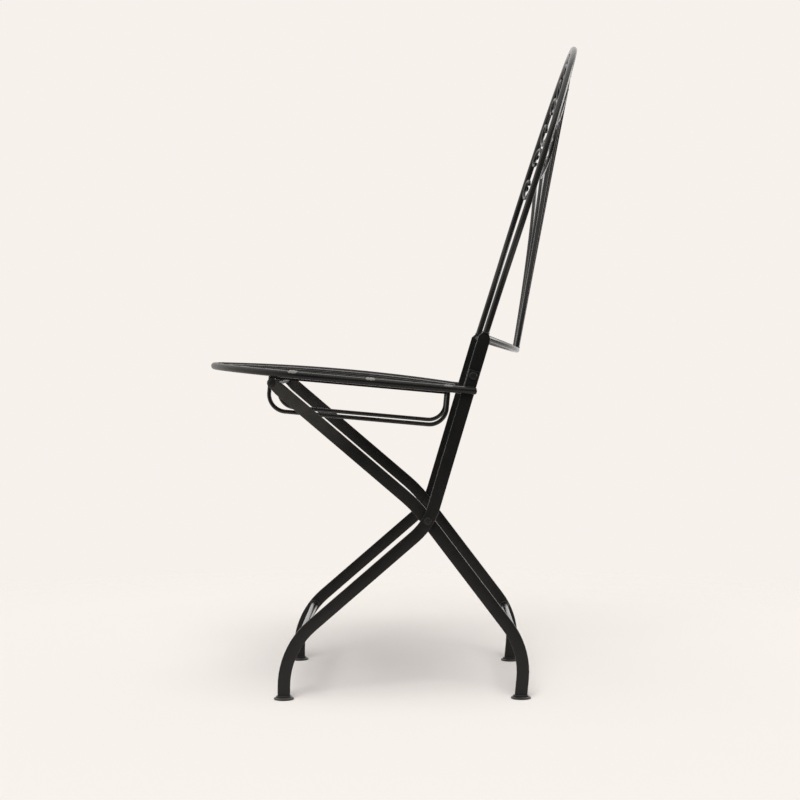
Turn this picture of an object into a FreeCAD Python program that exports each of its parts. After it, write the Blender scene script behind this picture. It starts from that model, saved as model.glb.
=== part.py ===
import FreeCAD, Part
import math
import os
import Sketcher
from FreeCAD import Rotation, Vector

# A folding garden chair of bent flat bars and round rods. X runs across the chair,
# the sitter looks along -Y, and Z is up from the floor. All lengths are in millimetres.
document = FreeCAD.newDocument("FoldingChair")
sheet = document.addObject("Spreadsheet::Sheet", "Sizes")

sizes = [
    # flat bars of both leg pairs
    ("bar_width", 17.5, "width of the flat leg bars"),
    ("bar_thickness", 6, "thickness of the flat leg bars"),
    ("bar_rounding", 1.2, "rounding of the bar edges"),
    ("bar_plane", 168, "middle of the outer bars, from the centre of the chair"),
    ("washer_thickness", 1.5, "washer between outer and inner bars"),
    ("crossing_y", 52, "where the bars cross, front to back"),
    ("crossing_z", 248, "height of the crossing"),
    # outer bars: front feet to the top of the uprights
    ("front_foot_y", -148, "front feet, front to back"),
    ("front_knee_z", 69, "height where front leg and foot lines meet"),
    ("front_knee_radius", 112, "bend above the front feet"),
    ("waist_radius", 90, "bend of the outer bars at the crossing"),
    ("waist_back", 1.35, "corner of that bend, behind the crossing"),
    ("waist_drop", 5, "corner of that bend, below the crossing"),
    ("upright_top_y", 133, "top of the uprights, front to back"),
    ("upright_top_z", 510, "height of the uprights"),
    ("shoulder_height", 7, "tapered end of the uprights"),
    # inner bars: rear feet to the sliding rod
    ("rear_foot_y", 182, "rear feet, front to back"),
    ("rear_knee_y", 188.4, "where rear leg and foot lines meet"),
    ("rear_knee_z", 68.5, "height of that point"),
    ("rear_knee_radius", 105, "bend above the rear feet"),
    ("rear_bend_forward", 15.5, "bend of the inner bars, forward of the crossing"),
    ("rear_bend_rise", 20, "bend of the inner bars, above the crossing"),
    ("rear_bend_radius", 180, "bend of the inner bars"),
    ("eye_diameter", 14, "round eyes of the inner bars at the sliding rod"),
    ("eye_taper", 14, "tapered end of the inner bars"),
    # feet and stretchers
    ("foot_diameter", 28, "foot discs"),
    ("foot_height", 3, "foot discs"),
    ("foot_edge", 1.8, "upright edge of a foot disc"),
    ("foot_bottom_diameter", 24, "flat underside of a foot disc"),
    ("foot_top_diameter", 21, "flat top of a foot disc"),
    ("stretcher_diameter", 10, "round stretchers between the legs"),
    ("front_stretcher_z", 87, "height of the front stretcher"),
    ("rear_stretcher_z", 86, "height of the rear stretcher"),
    # rivets
    ("rivet_diameter", 8, "shank of the pivot rivets"),
    ("rivet_head", 12, "head diameter"),
    ("rivet_head_height", 3, "head height"),
    ("rivet_head_rounding", 2.5, "rounding of a head"),
    ("pin_head", 10, "low heads at the sliding rod"),
    ("pin_head_height", 1.5, "low heads at the sliding rod"),
    ("pin_head_rounding", 1.2, "rounding of a low head"),
    ("rivet_clearance", 0.05, "running clearance round a shank"),
    ("head_gap", 0.15, "axial play under a rivet head"),
    ("weld_gap", 0.1, "gap between pieces that are welded together"),
    # back
    ("hoop_diameter", 9, "round rod of the back hoop"),
    ("hoop_swell_out", 36, "swell of the hoop beyond the uprights, on each side"),
    ("hoop_height", 438, "height of the hoop along its own slope"),
    ("hoop_run_y", 133.7, "backward reach of the hoop, uprights to apex"),
    ("hoop_neck", 64, "height where the hoop starts to swell"),
    ("hoop_swell", 178, "height where the swell ends"),
    ("hoop_neck_radius", 210, "bends of the swell"),
    ("hoop_crown_radius", 198, "round top of the hoop"),
    ("rail_diameter", 8, "round bottom rail of the back"),
    ("rail_below_top", 6, "rail below the top of the uprights"),
    ("rail_bow", 56, "backward bow of the rail"),
    ("rail_slope_angle", 19, "slope of the bow, degrees below level"),
    ("fan_diameter", 6, "rods of the fan in the back"),
    ("fan_centre_diameter", 7, "middle rod of the fan"),
    ("fan_pitch", 11, "spacing of the fan rods on the rail"),
    ("scroll_diameter", 5, "rods of the scrolls"),
    ("fan_curl_ratio", 0.4, "how far the side rods lean to the middle before they spread"),
    ("scroll_first_angle", 9, "place of the lowest scroll on the round of the hoop, degrees"),
    ("scroll_step_angle", 29.5, "scroll to scroll, degrees"),
    ("scroll_belly_radius", 50, "long bow of a scroll"),
    ("scroll_turn_radius", 16.5, "first turn of a scroll end"),
    ("scroll_eye_radius", 9, "eye of a scroll end"),
    ("scroll_belly_angle", 45, "half of the long bow, degrees"),
    ("scroll_turn_angle", 150, "first turn, degrees"),
    ("scroll_eye_angle", 140, "eye, degrees"),
    # seat
    ("seat_slope_angle", 5.1, "seat falls towards the back, degrees"),
    ("hinge_along_upright", 215.9, "hinge above the corner of the outer bars, along the upright"),
    ("seat_drop", 20.5, "hinge above the middle of the seat rim"),
    ("seat_reach", 376, "hinge to the front of the rim"),
    ("rim_diameter", 10, "round rod of the seat rim"),
    ("rim_rear_half", 177.3, "half width of the rim at the hinge"),
    ("rim_front_half", 192.5, "half width of the rim at its front corners"),
    ("rim_tail", 7, "rim behind the hinge"),
    ("rim_corner_radius", 180, "round front of the rim"),
    ("lug_width", 16, "hinge lugs"),
    ("lug_thickness", 4, "hinge lugs"),
    ("lug_play", 0.6, "gap between lug and upright"),
    ("lug_top", 8, "top edge of the lugs above the hinge"),
    ("lug_above_rim", 2.5, "lower edge of the lugs above the middle of the rim"),
    ("slat_width", 20, "seat slats"),
    ("slat_thickness", 3, "seat slats"),
    ("slat_pitch", 32, "spacing of the slats"),
    ("slat_rear", 22, "rear ends of the slats, from the hinge"),
    ("slat_above_rim", 0.5, "top of the slat ends above the rim"),
    ("seat_crown", 6.5, "rise of the seat middle above its edge"),
    ("cross_bar_width", 20, "flat bars under the slats"),
    ("cross_bar_thickness", 4, "flat bars under the slats"),
    ("rear_cross_bar", 33, "rear cross bar from the hinge"),
    ("cross_bar_pitch", 108.5, "spacing of the cross bars"),
    ("rim_gap", 0.25, "gap between rim and what is welded to it"),
    # guides and sliding rod
    ("guide_diameter", 6, "round rod of the guides"),
    ("guide_front", 286, "front upright of a guide, from the hinge"),
    ("guide_rear", 31, "rear upright of a guide, from the hinge"),
    ("guide_depth", 55, "guide rod below the middle of the rim"),
    ("guide_corner_radius", 25, "corners of the guides"),
    ("runner_thickness", 5, "bearing strips above the sliding rod"),
    ("runner_below_rim", 4.5, "bearing strips reach below the rim"),
    ("slide_rod_diameter", 9, "sliding rod"),
    ("slide_gap", 0.35, "gap between sliding rod and what stops it"),
    ("rod_end_gap", 0.5, "gap between sliding rod and the leg bars"),
]
for row, (alias, number, note) in enumerate(sizes, 1):
    sheet.set(f"A{row}", note)
    sheet.set(f"B{row}", str(number))
    sheet.setAlias(f"B{row}", alias)
document.recompute()

slatsEachSide = 5
guideSlat = 3          # the guides hang under this slat, counted from the middle
crossBars = ("rear", "middle", "front")
scrollsEachSide = 3
sides = (("left", -1), ("right", 1))
pieces = []


def measure(text):
    """Value and expression of a sum of sizes such as "seat_reach - rim_diameter/2"."""
    if isinstance(text, (int, float)):
        return float(text), None
    value = 0.0
    sign = 1.0
    words = []
    for word in text.split():
        if word in ("+", "-"):
            sign = 1.0 if word == "+" else -1.0
            words.append(word)
            continue
        name, _, divisor = word.partition("/")
        value += sign * float(getattr(sheet, name)) / float(divisor or 1)
        words.append("Sizes." + word)
        sign = 1.0
    return value, " ".join(words)


def size(text):
    return measure(text)[0]


def bind(thing, prop, text):
    thing.setExpression(prop, measure(text)[1])


def keep(thing, name, placement=None):
    """Label a finished piece, set its place, and list it for the files."""
    thing.Label = name
    if placement is not None:
        thing.Placement = placement
    pieces.append(thing)
    return thing


def at(x, y, z, rotation=None):
    return FreeCAD.Placement(Vector(x, y, z), rotation or Rotation())


# Sketch helpers


def newBody(name):
    return document.addObject("PartDesign::Body", name + "_body")


def sketchOn(body, name, role, lift=None):
    """A sketch on one of the body's own planes, raised by a size along its normal."""
    plane = next(f for f in body.Origin.OriginFeatures if f.Role == role)
    sketch = body.newObject("Sketcher::SketchObject", name)
    sketch.AttachmentSupport = (plane, [""])
    sketch.MapMode = "FlatFace"
    if isinstance(lift, float):
        sketch.AttachmentOffset = at(0, 0, lift)
    elif lift:
        bind(sketch, "AttachmentOffset.Base.z", lift)
    return sketch


def hold(sketch, kind, text, *elements):
    """A dimension of a sketch, tied to its sizes where it is a sum of them."""
    value, expression = measure(text)
    number = sketch.addConstraint(Sketcher.Constraint(kind, *elements, value))
    if expression:
        sketch.setExpression(f"Constraints[{number}]", expression)


def pin(sketch, element, place, across, up):
    """Hold a point of a sketch at two sizes; a zero holds it on that axis."""
    for kind, axis, text in (("DistanceX", -2, across), ("DistanceY", -1, up)):
        if text == 0:
            sketch.addConstraint(Sketcher.Constraint("PointOnObject", element, place, axis))
        else:
            hold(sketch, kind, text, -1, 1, element, place)


def drawCircle(sketch, across, up, radius):
    centre = Vector(size(across), size(up), 0)
    element = sketch.addGeometry(Part.Circle(centre, Vector(0, 0, 1), size(radius)))
    pin(sketch, element, 3, across, up)
    hold(sketch, "Radius", radius, element)


def drawPolygon(sketch, corners):
    points = [Vector(size(a), size(u), 0) for a, u in corners]
    ring = points[1:] + points[:1]
    lines = [sketch.addGeometry(Part.LineSegment(a, b)) for a, b in zip(points, ring)]
    for line, following in zip(lines, lines[1:] + lines[:1]):
        sketch.addConstraint(Sketcher.Constraint("Coincident", line, 2, following, 1))
    for line, (across, up) in zip(lines, corners):
        pin(sketch, line, 1, across, up)


def drawBentPath(sketch, corners, closed=False):
    """Straight runs through (across, up, radius) corners, inner ones rounded by an arc."""
    points = [Vector(size(a), size(u), 0) for a, u, _ in corners]
    ends, arcs = [points[0]], []
    for i in range(1, len(points) - 1):
        before = (points[i] - points[i - 1]).normalize()
        after = (points[i + 1] - points[i]).normalize()
        radius = size(corners[i][2])
        left = before.x * after.y - before.y * after.x > 0
        tangent = radius * math.tan(before.getAngle(after) / 2)
        first = points[i] - before * tangent
        last = points[i] + after * tangent
        inward = Vector(-before.y, before.x, 0) * (radius if left else -radius)
        arcs.append((first, last, first + inward, radius, left))
        ends += [first, last]
    ends.append(points[-1])
    runs = zip(ends[::2], ends[1::2])
    lines = [sketch.addGeometry(Part.LineSegment(a, b)) for a, b in runs]
    for i, (first, last, centre, radius, left) in enumerate(arcs):
        turn = (first, last) if left else (last, first)
        angles = [math.atan2(p.y - centre.y, p.x - centre.x) for p in turn]
        circle = Part.Circle(centre, Vector(0, 0, 1), radius)
        arc = sketch.addGeometry(Part.ArcOfCircle(circle, *angles))
        enter, leave = (1, 2) if left else (2, 1)
        sketch.addConstraint(Sketcher.Constraint("Tangent", lines[i], 2, arc, enter))
        sketch.addConstraint(Sketcher.Constraint("Tangent", arc, leave, lines[i + 1], 1))
        across, up, rounding = corners[i + 1]
        corner = sketch.addGeometry(Part.Point(points[i + 1]), True)
        for line in lines[i : i + 2]:
            sketch.addConstraint(Sketcher.Constraint("PointOnObject", corner, 1, line))
        pin(sketch, corner, 1, across, up)
        hold(sketch, "Radius", rounding, arc)
    pin(sketch, lines[0], 1, *corners[0][:2])
    pin(sketch, lines[-1], 2, *corners[-1][:2])
    if closed:
        base = sketch.addGeometry(Part.LineSegment(points[-1], points[0]))
        sketch.addConstraint(Sketcher.Constraint("Coincident", lines[-1], 2, base, 1))
        sketch.addConstraint(Sketcher.Constraint("Coincident", base, 2, lines[0], 1))
    return [f"Edge{i + 1}" for i in range(len(lines) + len(arcs))]


def drawBarSection(sketch, up):
    """Section of a flat bar with rounded edges: thickness across, width upwards."""
    r = size("bar_rounding")
    halfX = size("bar_thickness/2") - r
    halfY = size("bar_width/2") - r
    corners = [(halfX, halfY), (-halfX, halfY), (-halfX, -halfY), (halfX, -halfY)]
    arcs = []
    for i, (x, y) in enumerate(corners):
        circle = Part.Circle(Vector(x, size(up) + y, 0), Vector(0, 0, 1), r)
        quarter = Part.ArcOfCircle(circle, i * math.pi / 2, (i + 1) * math.pi / 2)
        arcs.append(sketch.addGeometry(quarter))
    for i, (arc, following) in enumerate(zip(arcs, arcs[1:] + arcs[:1])):
        start = sketch.Geometry[arc].EndPoint
        end = sketch.Geometry[following].StartPoint
        line = sketch.addGeometry(Part.LineSegment(start, end))
        sketch.addConstraint(Sketcher.Constraint("Tangent", arc, 2, line, 1))
        sketch.addConstraint(Sketcher.Constraint("Tangent", line, 2, following, 1))
        direction = "Vertical" if i % 2 else "Horizontal"
        sketch.addConstraint(Sketcher.Constraint(direction, line))
    for arc in arcs[1:]:
        sketch.addConstraint(Sketcher.Constraint("Equal", arcs[0], arc))
    hold(sketch, "Radius", "bar_rounding", arcs[0])
    across = "bar_thickness/2 - bar_rounding"
    pin(sketch, arcs[0], 3, across, up + " + bar_width/2 - bar_rounding")
    pin(sketch, arcs[2], 3, "- " + across.replace("-", "+"), up + " - bar_width/2 + bar_rounding")


def addPipe(body, section, path, edges):
    pipe = body.newObject("PartDesign::AdditivePipe", "Bent")
    pipe.Profile = section
    pipe.Spine = (path, edges)
    document.recompute()


def addAcross(body, kind, name, sketch, length):
    """A Pad or Pocket of a sketch, equally to both sides of its plane."""
    feature = body.newObject("PartDesign::" + kind, name)
    feature.Profile = sketch
    feature.SideType = "Symmetric"
    bind(feature, "Length", length)
    document.recompute()


def addHoles(body, centres, radius):
    drill = sketchOn(body, "Drill", "YZ_Plane")
    for centre in centres:
        drawCircle(drill, centre.y, centre.z, radius)
    addAcross(body, "Pocket", "Holes", drill, "bar_width")


def turned(name, corners):
    """A body turned about its own Z axis from (radius, height) corners."""
    body = newBody(name)
    outline = sketchOn(body, "Outline", "XZ_Plane")
    drawPolygon(outline, corners)
    feature = body.newObject("PartDesign::Revolution", "Turned")
    feature.Profile = outline
    feature.ReferenceAxis = (outline, ["V_Axis"])
    feature.Angle = 360
    document.recompute()
    return body


def roundRims(body, radius, heights, rounding):
    """Round the circular rims of a turned piece that lie at these heights."""
    base = body.Tip
    names = []
    for number, edge in enumerate(base.Shape.Edges, 1):
        curve = edge.Curve
        if not isinstance(curve, Part.Circle) or abs(curve.Radius - radius) > 1e-4:
            continue
        if min(abs(curve.Center.z - h) for h in heights) < 1e-4:
            names.append(f"Edge{number}")
    fillet = body.newObject("PartDesign::Fillet", "Rounded")
    fillet.Base = (base, names)
    bind(fillet, "Radius", rounding)
    document.recompute()


def cylinder(name, radius, length, placement):
    rod = document.addObject("Part::Cylinder", name + "_rod")
    bind(rod, "Radius", radius)
    if isinstance(length, float):
        rod.Height = length
    else:
        bind(rod, "Height", length)
    rod.Placement = placement
    return rod


def crossRod(name, radius, half, y, z):
    """A round rod across the chair, reaching to the same distance on both sides."""
    placement = at(-half, y, z, Rotation(Vector(0, 1, 0), 90))
    keep(cylinder(name, radius, 2 * half, placement), name)


# Places that several pieces share

outerFace = size("bar_plane + bar_thickness/2")
barInner = size("bar_plane - bar_thickness/2")
innerPlane = size("bar_plane - bar_thickness - washer_thickness")
innerBarOuter = innerPlane + size("bar_thickness/2")
innerBarInner = innerPlane - size("bar_thickness/2")
crossing = Vector(0, size("crossing_y"), size("crossing_z"))
uprightTop = Vector(0, size("upright_top_y"), size("upright_top_z"))
waist = crossing + Vector(0, size("waist_back"), -size("waist_drop"))
uprightWay = (uprightTop - waist).normalize()
hinge = waist + uprightWay * size("hinge_along_upright")
seatPlace = FreeCAD.Placement(hinge, Rotation(Vector(1, 0, 0), -size("seat_slope_angle")))
hoopLean = math.degrees(math.asin(size("hoop_run_y") / size("hoop_height")))
hoopPlace = FreeCAD.Placement(uprightTop, Rotation(Vector(1, 0, 0), -hoopLean))

# The seat surface is a shallow dome. Its edge lies just above the rim.
rimInside = size("rim_front_half - rim_diameter/2 - rim_gap")
domeRadius = (rimInside ** 2 + size("seat_crown") ** 2) / (2 * size("seat_crown"))
domeTop = size("rim_diameter/2 - seat_drop + slat_above_rim + seat_crown")
domeCentre = Vector(0, -size("seat_reach - rim_front_half"), domeTop - domeRadius)
barTopDepth = size("slat_thickness + weld_gap")
barBottomDepth = barTopDepth + size("cross_bar_thickness")
runnerDepth = barBottomDepth + size("weld_gap")
runnerBottom = size("- seat_drop - rim_diameter/2 - runner_below_rim")
guideX = guideSlat * size("slat_pitch")


def domeHeight(x, y, depth):
    """Height of the dome, less a depth below its surface, in seat coordinates."""
    reach = math.hypot(x - domeCentre.x, y - domeCentre.y)
    return domeCentre.z + math.sqrt((domeRadius - depth) ** 2 - reach ** 2)


# At rest the sliding rod lies against the front uprights of the guides, just below
# the bearing strips.
rodSeat = Vector(
    0,
    -size("guide_front - guide_diameter/2 - slide_rod_diameter/2 - slide_gap"),
    runnerBottom - size("slide_gap + slide_rod_diameter/2"),
)
rodPlace = seatPlace.multVec(rodSeat)


# Leg bars


def legBar(name, x, footY, corners):
    """A flat bar bent edgewise, with rounded edges, standing on its foot disc."""
    body = newBody(name)
    section = sketchOn(body, "Section", "XY_Plane", "foot_height")
    drawBarSection(section, footY)
    path = sketchOn(body, "Path", "YZ_Plane")
    edges = drawBentPath(path, [(footY, "foot_height", None)] + corners)
    addPipe(body, section, path, edges)
    keep(body, name, at(x, 0, 0))
    return body, path


def taperEnd(body, end, way, narrow, length):
    """Cut the edges of a bar back towards its end, to a narrower half width."""
    across = Vector(0, way.z, -way.y)
    wide = across * size("bar_width")
    half = across * size("bar_width/2 + weld_gap")
    slim = across * size(narrow)
    drop = way * size(length)
    above = way * size("weld_gap")
    outline = sketchOn(body, "TaperOutline", "YZ_Plane")
    for turn in (-1, 1):
        corners = [
            end + slim * turn + above,
            end + wide * turn + above,
            end + wide * turn - drop,
            end + half * turn - drop,
        ]
        drawPolygon(outline, [(p.y, p.z) for p in corners])
    addAcross(body, "Pocket", "Taper", outline, "bar_width")


def outerBar(name, side):
    """Front foot, crossing and upright in one bar, tapered at the top for the hoop."""
    body, path = legBar(
        name,
        side * size("bar_plane"),
        "front_foot_y",
        [
            ("front_foot_y", "front_knee_z", "front_knee_radius"),
            ("crossing_y + waist_back", "crossing_z - waist_drop", "waist_radius"),
            ("upright_top_y", "upright_top_z", None),
        ],
    )
    addHoles(body, (crossing, hinge), "rivet_diameter/2 + rivet_clearance")
    taperEnd(body, uprightTop, uprightWay, "hoop_diameter/2", "shoulder_height")
    return path


def innerBar(name, side):
    """Rear foot and crossing, narrowed to a round eye at the sliding rod."""
    body, path = legBar(
        name,
        side * innerPlane,
        "rear_foot_y",
        [
            ("rear_knee_y", "rear_knee_z", "rear_knee_radius"),
            ("crossing_y - rear_bend_forward", "crossing_z + rear_bend_rise", "rear_bend_radius"),
            (rodPlace.y, rodPlace.z, None),
        ],
    )
    bend = crossing + Vector(0, -size("rear_bend_forward"), size("rear_bend_rise"))
    taperEnd(body, rodPlace, (rodPlace - bend).normalize(), "eye_diameter/2", "eye_taper")
    eye = sketchOn(body, "Eye", "YZ_Plane")
    drawCircle(eye, rodPlace.y, rodPlace.z, "eye_diameter/2")
    addAcross(body, "Pad", "RoundEnd", eye, "bar_thickness")
    addHoles(body, (crossing, rodPlace), "rivet_diameter/2 + rivet_clearance")
    return path


def onPath(path, height):
    """Where a leg bar's middle line passes a height, front to back."""
    reach = size("upright_top_z")
    level = Part.makeLine(Vector(0, -reach, height), Vector(0, reach, height))
    return path.Shape.distToShape(level)[1][0][0].y


for word, side in sides:
    outerPath = outerBar(f"{word}_upright_bar", side)
    innerPath = innerBar(f"{word}_rear_leg_bar", side)

weld = size("weld_gap")
frontZ = size("front_stretcher_z")
rearZ = size("rear_stretcher_z")
rodHalf = innerBarInner - size("rod_end_gap")
crossRod("front_stretcher", "stretcher_diameter/2", barInner - weld, onPath(outerPath, frontZ), frontZ)
crossRod("rear_stretcher", "stretcher_diameter/2", innerBarInner - weld, onPath(innerPath, rearZ), rearZ)
crossRod("slide_rod", "slide_rod_diameter/2", rodHalf, rodPlace.y, rodPlace.z)

# Foot discs, one under each leg

footOutline = [
    (0, 0),
    ("foot_bottom_diameter/2", 0),
    ("foot_diameter/2", "foot_height - foot_edge"),
    ("foot_top_diameter/2", "foot_height"),
    (0, "foot_height"),
]
for word, side in sides:
    for end, x, y in (("front", size("bar_plane"), "front_foot_y"), ("rear", innerPlane, "rear_foot_y")):
        name = f"{word}_{end}_foot"
        keep(turned(name, footOutline), name, at(side * x, size(y), 0))


# Rivets and washers


def rivet(name, side, inner, outer, place, innerHead, head="rivet_head"):
    """A rivet across the chair from an inner to an outer face, with domed heads."""
    height = size(head + "_height")
    radius = head + "/2"
    gap = size("head_gap")
    low = inner - gap if innerHead else inner
    top = outer + gap
    corners = [(0, low), ("rivet_diameter/2", low), ("rivet_diameter/2", top)]
    corners += [(radius, top), (radius, top + height), (0, top + height)]
    heights = [top + height]
    if innerHead:
        corners[0:1] = [(0, low - height), (radius, low - height), (radius, low)]
        heights.append(low - height)
    body = turned(name, corners)
    roundRims(body, size(radius), heights, head + "_rounding")
    keep(body, name, at(0, place.y, place.z, Rotation(Vector(0, 1, 0), 90 * side)))


lugInner = outerFace + size("lug_play")
lugOuter = lugInner + size("lug_thickness")
for word, side in sides:
    rivet(f"{word}_crossing_rivet", side, innerBarInner, outerFace, crossing, True)
    rivet(f"{word}_seat_hinge_rivet", side, barInner, lugOuter, hinge, False)
    rivet(f"{word}_slide_rod_rivet", side, innerBarInner, innerBarOuter, rodPlace, False, "pin_head")
    turn = Rotation(Vector(0, 1, 0), 90 * side)
    place = at(side * (innerBarOuter + weld), crossing.y, crossing.z, turn)
    blank = cylinder(f"{word}_washer_blank", "rivet_head/2", "washer_thickness - weld_gap", place)
    hole = cylinder(f"{word}_washer_hole", "rivet_diameter/2 + rivet_clearance", "washer_thickness", place)
    washer = document.addObject("Part::Cut", f"{word}_washer")
    washer.Base = blank
    washer.Tool = hole
    keep(washer, f"{word}_crossing_washer")

# Back hoop: a round rod that springs from the uprights, swells and closes in a round top

hoop = newBody("back_hoop")
hoopSection = sketchOn(hoop, "Section", "XY_Plane", "weld_gap")
drawCircle(hoopSection, "bar_plane", 0, "hoop_diameter/2")
hoopPath = sketchOn(hoop, "Path", "XZ_Plane")
hoopRight = [
    ("bar_plane", "weld_gap", None),
    ("bar_plane", "hoop_neck", "hoop_neck_radius"),
    ("bar_plane + hoop_swell_out", "hoop_swell", "hoop_neck_radius"),
    ("bar_plane + hoop_swell_out", "hoop_height", "hoop_crown_radius"),
]
hoopLeft = [("- " + across.replace("+", "-"), up, radius) for across, up, radius in reversed(hoopRight)]
addPipe(hoop, hoopSection, hoopPath, drawBentPath(hoopPath, hoopRight + hoopLeft))
keep(hoop, "back_hoop", hoopPlace)

# Bent rods of the back


def tube(edges, radius):
    """The solid of a round rod along arcs."""
    start = edges[0].valueAt(edges[0].FirstParameter)
    way = edges[0].tangentAt(edges[0].FirstParameter)
    section = Part.Wire(Part.makeCircle(size(radius), start, way))
    return Part.Wire(edges).makePipeShell([section], True, False)


def rodAlong(name, edges, radius, trims=()):
    """A bent rod, cut back from the pieces that it is welded to."""
    shape = tube(edges, radius)
    for trim in trims:
        shape = shape.cut(trim)
    feature = document.addObject("Part::Feature", name + "_rod")
    feature.Shape = max(shape.Solids, key=lambda solid: solid.Volume)
    return keep(feature, name)


def arcEdge(start, middle, end):
    return Part.Arc(start, middle, end).toShape()


# The bottom rail bows backwards between the uprights, and is cut off at their inner faces.
railHalf = barInner - weld
railBow = size("rail_bow")
railRadius = (railHalf ** 2 + railBow ** 2) / (2 * railBow)
railEnd = uprightTop - uprightWay * size("rail_below_top")
railPlace = FreeCAD.Placement(railEnd, Rotation(Vector(1, 0, 0), -size("rail_slope_angle")))


def onRail(x):
    """Where the rail's middle line lies at a distance from the middle of the chair."""
    depth = railBow - railRadius + math.sqrt(railRadius ** 2 - x ** 2)
    return railPlace.multVec(Vector(x, depth, 0))


railReach = railHalf + size("rail_diameter/2")
railArc = arcEdge(onRail(railReach), onRail(0), onRail(-railReach))
blockSize = size("upright_top_z")
beside = [
    Part.makeBox(blockSize, 2 * blockSize, 2 * blockSize, Vector(x, -blockSize, 0))
    for x in (railHalf, -railHalf - blockSize)
]
rodAlong("back_bottom_rail", [railArc], "rail_diameter/2", beside)

# The scrolls stand inside the hoop, and the back bows from the hoop to a middle line
# between rail and hoop top, so each scroll leans a little.
crownR = size("hoop_crown_radius")
crownMiddle = Vector(size("bar_plane + hoop_swell_out") - crownR, 0, size("hoop_height") - crownR)


def bowBehindHoop(x, z):
    """How far the bowed back lies behind the plane of the hoop."""
    above = max(0.0, z - crownMiddle.z)
    half = crownMiddle.x + math.sqrt(crownR ** 2 - above ** 2)
    return railBow * (1 - z / size("hoop_height")) * (1 - (x / half) ** 2)


def scrollTurns():
    """Start, middle and end of each arc of half a scroll from its belly to its eye."""
    turns = [
        (size("scroll_belly_radius"), size("scroll_belly_angle")),
        (size("scroll_turn_radius"), size("scroll_turn_angle")),
        (size("scroll_eye_radius"), size("scroll_eye_angle")),
    ]
    point = Vector(0, 0, 0)
    heading = 90.0
    arcs = []
    centres = []
    for radius, angle in turns:
        right = Vector(math.sin(math.radians(heading)), -math.cos(math.radians(heading)), 0)
        centre = point + right * radius
        places = []
        for share in (0, 0.5, 1):
            turn = math.radians(heading - angle * share)
            places.append(centre - Vector(math.sin(turn), -math.cos(turn), 0) * radius)
        arcs.append(places)
        centres.append(centre)
        point = places[-1]
        heading -= angle
    return arcs, centres


scrollArcs, scrollCentres = scrollTurns()
turnCentre = scrollCentres[1]
turnOut = size("scroll_turn_radius + scroll_diameter/2 + weld_gap")
hoopInside = crownR - size("hoop_diameter/2")
# The turn touches the round of the hoop from inside: its centre lies this far from the hoop's.
scrollOut = hoopInside + turnCentre.x - math.sqrt((hoopInside - turnOut) ** 2 - turnCentre.y ** 2)


def scroll(name, angle):
    """A double-ended scroll with its belly to the middle of the back and its ends at the hoop."""
    outward = Vector(math.cos(math.radians(angle)), 0, math.sin(math.radians(angle)))
    along = Vector(-outward.z, 0, outward.x)
    foot = crownMiddle + outward * hoopInside
    belly = foot - outward * scrollOut
    lean = math.atan2(bowBehindHoop(belly.x, belly.z), scrollOut)
    tilted = outward * math.cos(lean) - Vector(0, 1, 0) * math.sin(lean)

    def place(p, mirror):
        return hoopPlace.multVec(foot + tilted * (p.x - scrollOut) + along * (p.y * mirror))

    bellyArc = scrollArcs[0]
    lower = [[place(p, -1) for p in reversed(arc)] for arc in reversed(scrollArcs[1:])]
    long = [place(bellyArc[2], -1), place(bellyArc[0], 1), place(bellyArc[2], 1)]
    upper = [[place(p, 1) for p in arc] for arc in scrollArcs[1:]]
    edges = [arcEdge(*arc) for arc in lower + [long] + upper]
    meets = {"low": place(bellyArc[1], -1), "middle": place(bellyArc[0], 1)}
    return rodAlong(name, edges, "scroll_diameter/2"), edges, meets


def mirrored(piece, name):
    """The left-hand twin of a right-hand piece."""
    twin = document.addObject("Part::Mirroring", name + "_twin")
    twin.Source = piece
    twin.Normal = Vector(1, 0, 0)
    keep(twin, name)


scrolls = []
for number in range(scrollsEachSide):
    angle = size("scroll_first_angle") + number * size("scroll_step_angle")
    piece, edges, meets = scroll(f"right_back_scroll_{number + 1}", angle)
    mirrored(piece, f"left_back_scroll_{number + 1}")
    scrolls.append((edges, meets))

# Fan of rods: each starts in the rail, where it is cut to fit, and the side ones curl out
# to the bow of a scroll, the outer ones to its middle and the others to its lower half
aroundRail = tube([railArc], "rail_diameter/2 + weld_gap")
fanFoot = onRail(0)
fanHead = hoopPlace.multVec(Vector(0, 0, size("hoop_height")))
fanWay = (fanHead - fanFoot).normalize()
fanHigh = fanHead - fanWay * size("hoop_diameter/2 + weld_gap")
upFan = FreeCAD.Placement(fanFoot, Rotation(Vector(0, 0, 1), fanWay))
railSleeve = document.addObject("Part::Feature", "around_rail")
railSleeve.Shape = aroundRail
centreRod = document.addObject("Part::Cut", "fan_centre_rod")
centreRod.Base = cylinder("fan", "fan_centre_diameter/2", (fanHigh - fanFoot).Length, upFan)
centreRod.Tool = railSleeve
keep(centreRod, "back_fan_centre_rod")
fanRods = (("inner", "low"), ("middle", "low"), ("outer", "middle"))
for steps, (label, spot) in enumerate(fanRods, 1):
    edges, meets = scrolls[scrollsEachSide - steps]
    belly = meets[spot]
    start = onRail(steps * size("fan_pitch"))
    chord = belly - start
    middle = start + chord * 0.5
    middle += (fanWay * chord.dot(fanWay) - chord) * 0.5 * size("fan_curl_ratio")
    trims = (aroundRail, tube(edges, "scroll_diameter/2 + weld_gap"))
    rod = rodAlong(f"right_fan_{label}_rod", [arcEdge(start, middle, belly)], "fan_diameter/2", trims)
    mirrored(rod, f"left_fan_{label}_rod")


# Seat


def seatBody(name, x=0.0):
    return newBody(name), seatPlace.multiply(at(x, 0, 0))


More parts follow.
